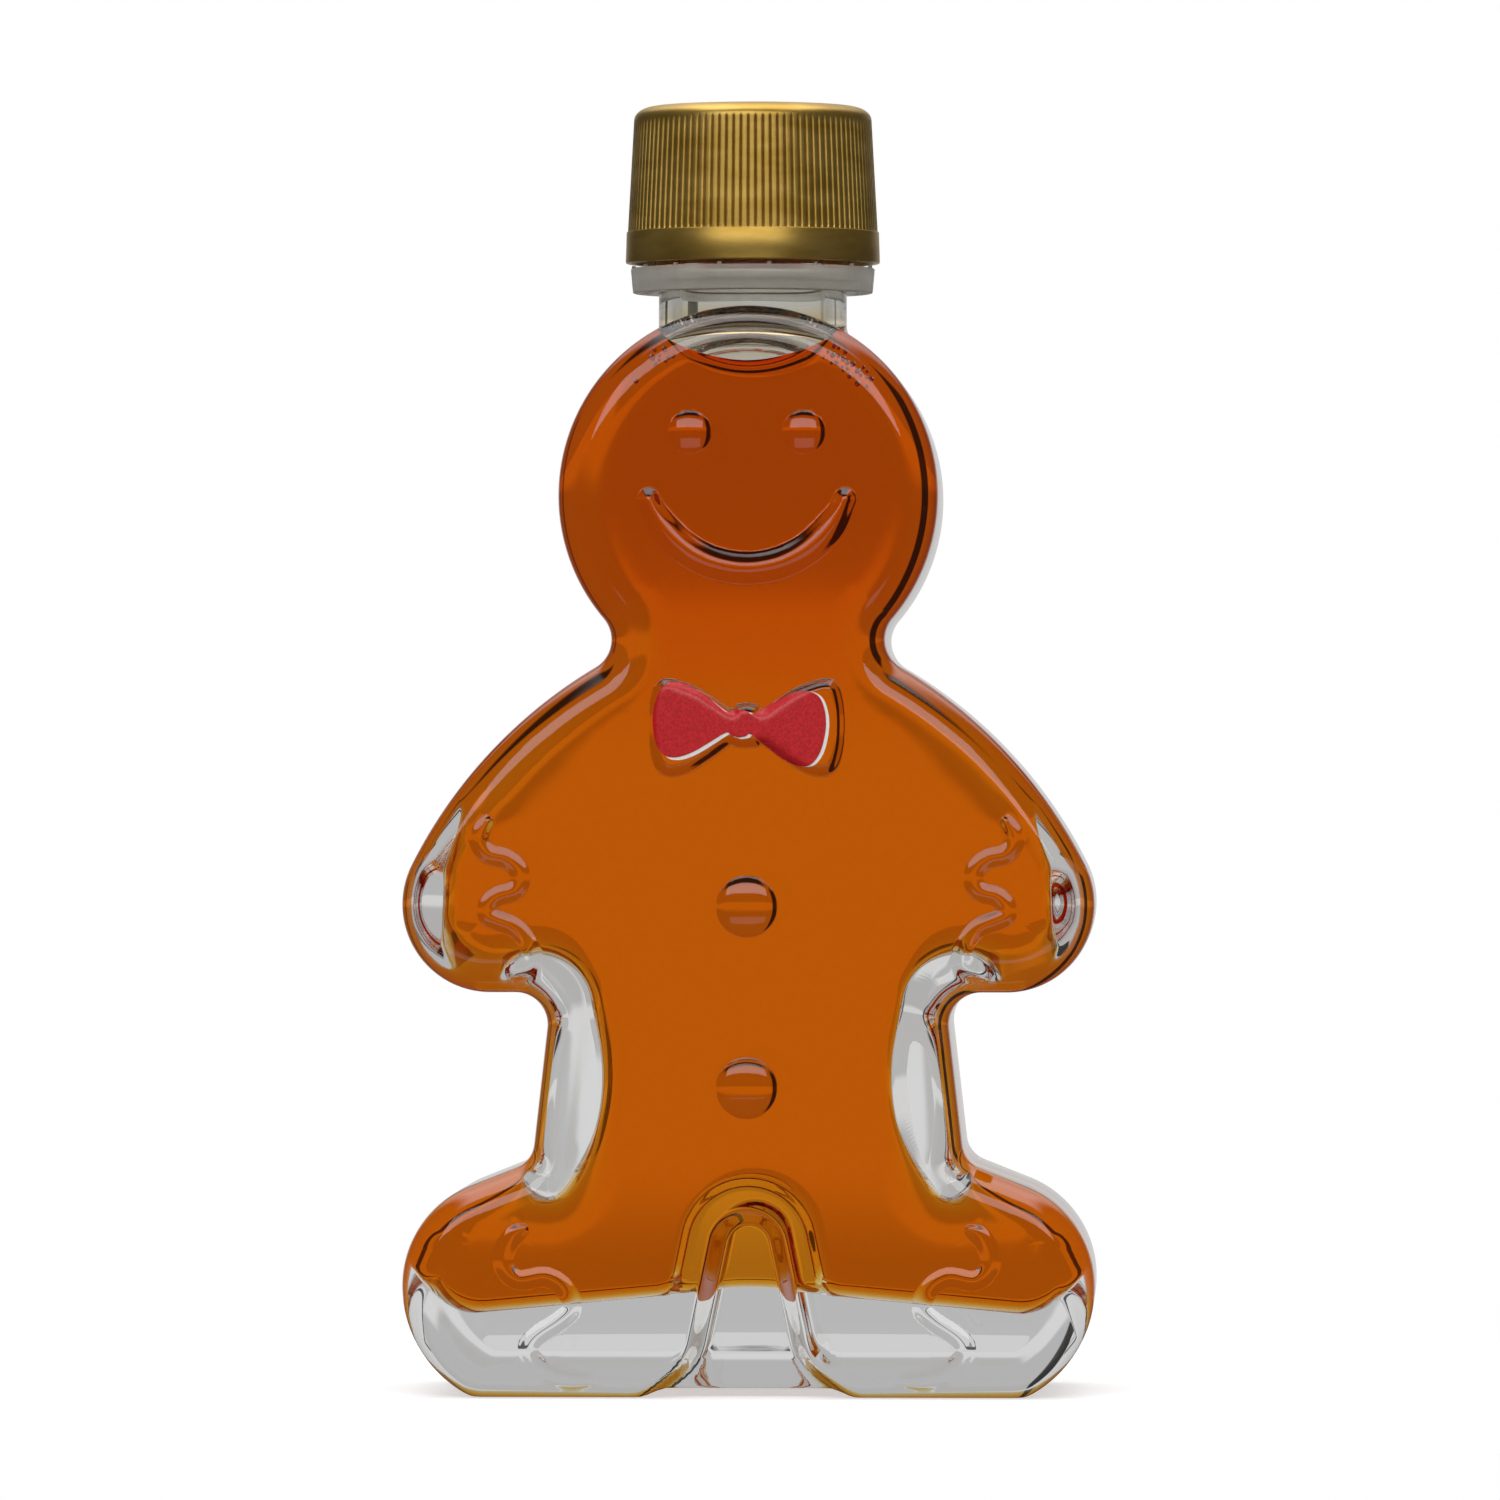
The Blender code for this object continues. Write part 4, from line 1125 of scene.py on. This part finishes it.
white = ink("bow_print_white", WHITE_SHIFT, WHITE_TURN, INK_GAP)
red = ink("bow_print_red", RED_SHIFT, RED_TURN, 2 * INK_GAP + INK_THICKNESS)
white_finish = mottled("white_ink", (0.72, 0.72, 0.70), (0.78, 0.78, 0.76), 3000.0, 0.4)
dress(white, "bottle", "bow_tie_white", white_finish)
red_finish = mottled("red_ink", (0.38, 0.004, 0.007), (0.56, 0.010, 0.016), 3500.0, 0.35)
dress(red, "bottle", "bow_tie_red", red_finish)
gold_colours = ((0.41, 0.250, 0.046), (0.55, 0.356, 0.087))
gold = mottled("gold_plastic", *gold_colours, 130.0, 0.36, 0.88, (1, 1, 3.5))
dress(screw_cap(), "cap", "screw_cap", gold)
dress(tamper_band(), "band", "tamper_band", pale_plastic())
foam = mottled("liner_foam", (0.74, 0.74, 0.71), (0.82, 0.82, 0.80), 4000.0, 0.6)
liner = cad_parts["cap_liner"]
liner.data.materials.clear()
liner.data.materials.append(foam)

# The camera, at a slight angle
CAMERA_TURN = math.radians(2.2)
CAMERA_AWAY = 1.4
CAMERA_Z = 0.0808
CAMERA_LENS = 266
CAMERA_SHIFT = -0.0019

# The lit panel behind the glass, what is left of it aside, above and below, and the dark under it
PANEL = 0.68
PANEL_ASIDE = 0.75
PANEL_HIGH = 0.68
PANEL_LOW = 0.72
UNDER_DARK = 0.92

# The floor, as the glass shows it, with a ring of painted shade that draws a dark streak in the base:
# (from, to) at its inner and at its outer side
FLOOR_RADIUS = 0.150
FLOOR_BRIGHT = 0.62
FLOOR_PAINTED_SHADE_RING = (0.100, 0.104, 0.128, 0.120)
FLOOR_PAINTED_SHADE_RING_DARK = 0.56

# Dark strips of the backdrop that draw the glass's edges: from and to in degrees, and how dark
DARK_STRIPS = ((26.0, 33.0, 0.60), (-25.0, -14.5, 0.92))
STRIP_BLEND = math.radians(1.5)

# The world's brightness by direction: x, y and z are parts of it, from -1 to 1
world = bpy.data.worlds.new("studio")
bpy.context.scene.world = world
sky = Tree(world)
heading = sky.add("TexCoord", {}).outputs["Generated"]
x, y, z = sky.add("SeparateXYZ", {0: heading}).outputs
across = sky.maths("ABSOLUTE", x)
turn = sky.maths("ARCTAN2", x, sky.maths("ABSOLUTE", y))
aside = sky.maths("ABSOLUTE", turn)

# What the glass shows through it: a lit panel with the dark strips, dimmer to the sides, up and down
strips = []
for start, end, dark in DARK_STRIPS:
    start, end = math.radians(start), math.radians(end)
    left = sky.ramp(turn, start, start + STRIP_BLEND)
    strips.append(sky.times(left, sky.ramp(turn, end, end - STRIP_BLEND, 0.0, dark)))
shade = sky.times(sky.maths("MAXIMUM", *strips), sky.ramp(z, -0.23, -0.19))
panel = sky.ramp(aside, math.radians(24), math.radians(50), 1.0, PANEL_ASIDE)
panel = sky.times(panel, sky.maths("SUBTRACT", 1.0, shade))
panel = sky.times(panel, sky.ramp(z, -0.004, 0.024, 1.0, PANEL_HIGH))
under = sky.times(sky.ramp(z, -0.46, -0.42), sky.ramp(z, -0.17, -0.21))
under = sky.times(under, sky.ramp(aside, math.radians(14), math.radians(10)))
panel = sky.times(panel, sky.maths("MULTIPLY_ADD", under, -UNDER_DARK, 1.0))
seen_through = sky.times(panel, sky.ramp(z, -0.047, -0.037, PANEL_LOW, 1.0), PANEL)

# What the glass and the cap mirror: the backdrop, a softbox overhead and a card low in front
backdrop = sky.ramp(y, 0.80, 1.0, 0.04, 0.66)
overhead = sky.times(sky.ramp(z, 0.38, 0.46), sky.ramp(y, -0.40, -0.34), sky.ramp(across, 0.62, 0.42))
low_card = sky.times(sky.ramp(across, 0.48, 0.40), sky.ramp(y, 0.0, -0.2))
low_card = sky.times(low_card, sky.ramp(z, -0.78, -0.72, 0.0, 0.25), sky.ramp(z, -0.22, -0.28))
boxes = sky.times(sky.maths("MAXIMUM", overhead, low_card), sky.ramp(y, 0.2, 0.8, 3.0, 0.9))
mirrored = sky.maths("MAXIMUM", backdrop, boxes)
spread = sky.ramp(y, -0.2, 0.9, 0.16, 0.80)
rays = (("Is Diffuse Ray", spread), ("Is Glossy Ray", mirrored), ("Is Transmission Ray", seen_through))
value = sky.by_ray(0.40, *rays, ("Is Camera Ray", 1.0))
sky.put(sky.nodes["Background"], {"Color": value})

floor_mesh = bpy.data.meshes.new("floor")
shape = bmesh.new()
bmesh.ops.create_circle(shape, cap_ends=True, segments=96, radius=FLOOR_RADIUS)
shape.to_mesh(floor_mesh)
shape.free()
floor = bpy.data.objects.new("floor", floor_mesh)
bpy.context.scene.collection.objects.link(floor)
floor.location.z = -0.0001
finish, tree, shader = material("pale_floor")
place = tree.place()
far = tree.add("VectorMath", {0: place}, operation="LENGTH").outputs["Value"]
grain = tree.add("TexNoise", {"Scale": 160.0, "Vector": place}).outputs["Fac"]
radius = tree.maths("MULTIPLY_ADD", grain, 0.012, far)
# Painted shade: a ragged dark ring on the floor, seen only through the glass, in place of the shade under
# the base
ring = tree.times(tree.ramp(radius, *FLOOR_PAINTED_SHADE_RING[:2]), tree.ramp(radius, *FLOOR_PAINTED_SHADE_RING[2:]))
through = tree.maths("MULTIPLY_ADD", ring, -FLOOR_PAINTED_SHADE_RING_DARK, FLOOR_BRIGHT)
rays = (("Is Glossy Ray", 0.06), ("Is Transmission Ray", 0.02), ("Is Camera Ray", 0.62))
colour = tree.by_ray(0.30, *rays)
tree.put(shader, {"Base Color": colour, "Roughness": 0.9, "Specular IOR Level": 0.0})
glow = tree.by_ray(0.0, ("Is Transmission Ray", through), ("Is Camera Ray", 0.55))
glow = tree.add("Emission", {"Color": glow}).outputs[0]
both = tree.add("AddShader", {0: shader.outputs[0], 1: glow}).outputs[0]
tree.put(tree.nodes["Material Output"], {"Surface": both})
floor_mesh.materials.append(finish)


def softbox(name, place, target, size, brightness, mirrored=False):
    """A rectangular softbox of this brightness that looks at a point."""
    light = bpy.data.lights.new(name, "AREA")
    light.shape = "RECTANGLE"
    light.size, light.size_y = size
    light.energy = brightness * math.pi * size[0] * size[1]
    made = bpy.data.objects.new(name, light)
    bpy.context.scene.collection.objects.link(made)
    made.location = place
    made.visible_transmission = False
    made.visible_glossy = mirrored
    made.rotation_euler = (Vector(target) - Vector(place)).to_track_quat("-Z", "Y").to_euler()
    return made


softbox("top_softbox", (0.0, -0.02, 0.70), (0, -0.02, 0), (0.75, 0.36), 3.0)
softbox("front_softbox", (-0.05, -0.92, 0.62), (0, 0, 0.10), (1.20, 0.72), 1.9)
softbox("front_core", (-0.05, -0.90, 0.56), (0, 0, 0.10), (1.35, 0.42), 2.7, True)

camera_data = bpy.data.cameras.new("camera")
camera_data.lens = CAMERA_LENS
camera_data.sensor_width = 36
camera_data.shift_x = CAMERA_SHIFT
camera = bpy.data.objects.new("camera", camera_data)
bpy.context.scene.collection.objects.link(camera)
camera.location.x = CAMERA_AWAY * math.sin(CAMERA_TURN)
camera.location.y = -CAMERA_AWAY * math.cos(CAMERA_TURN)
camera.location.z = CAMERA_Z
camera.rotation_euler = (math.pi / 2, 0, CAMERA_TURN)
bpy.context.scene.camera = camera
bpy.context.scene.view_settings.view_transform = "Standard"
cycles = bpy.context.scene.cycles
cycles.max_bounces = 32
cycles.transmission_bounces = 32
cycles.glossy_bounces = 12
cycles.transparent_max_bounces = 16
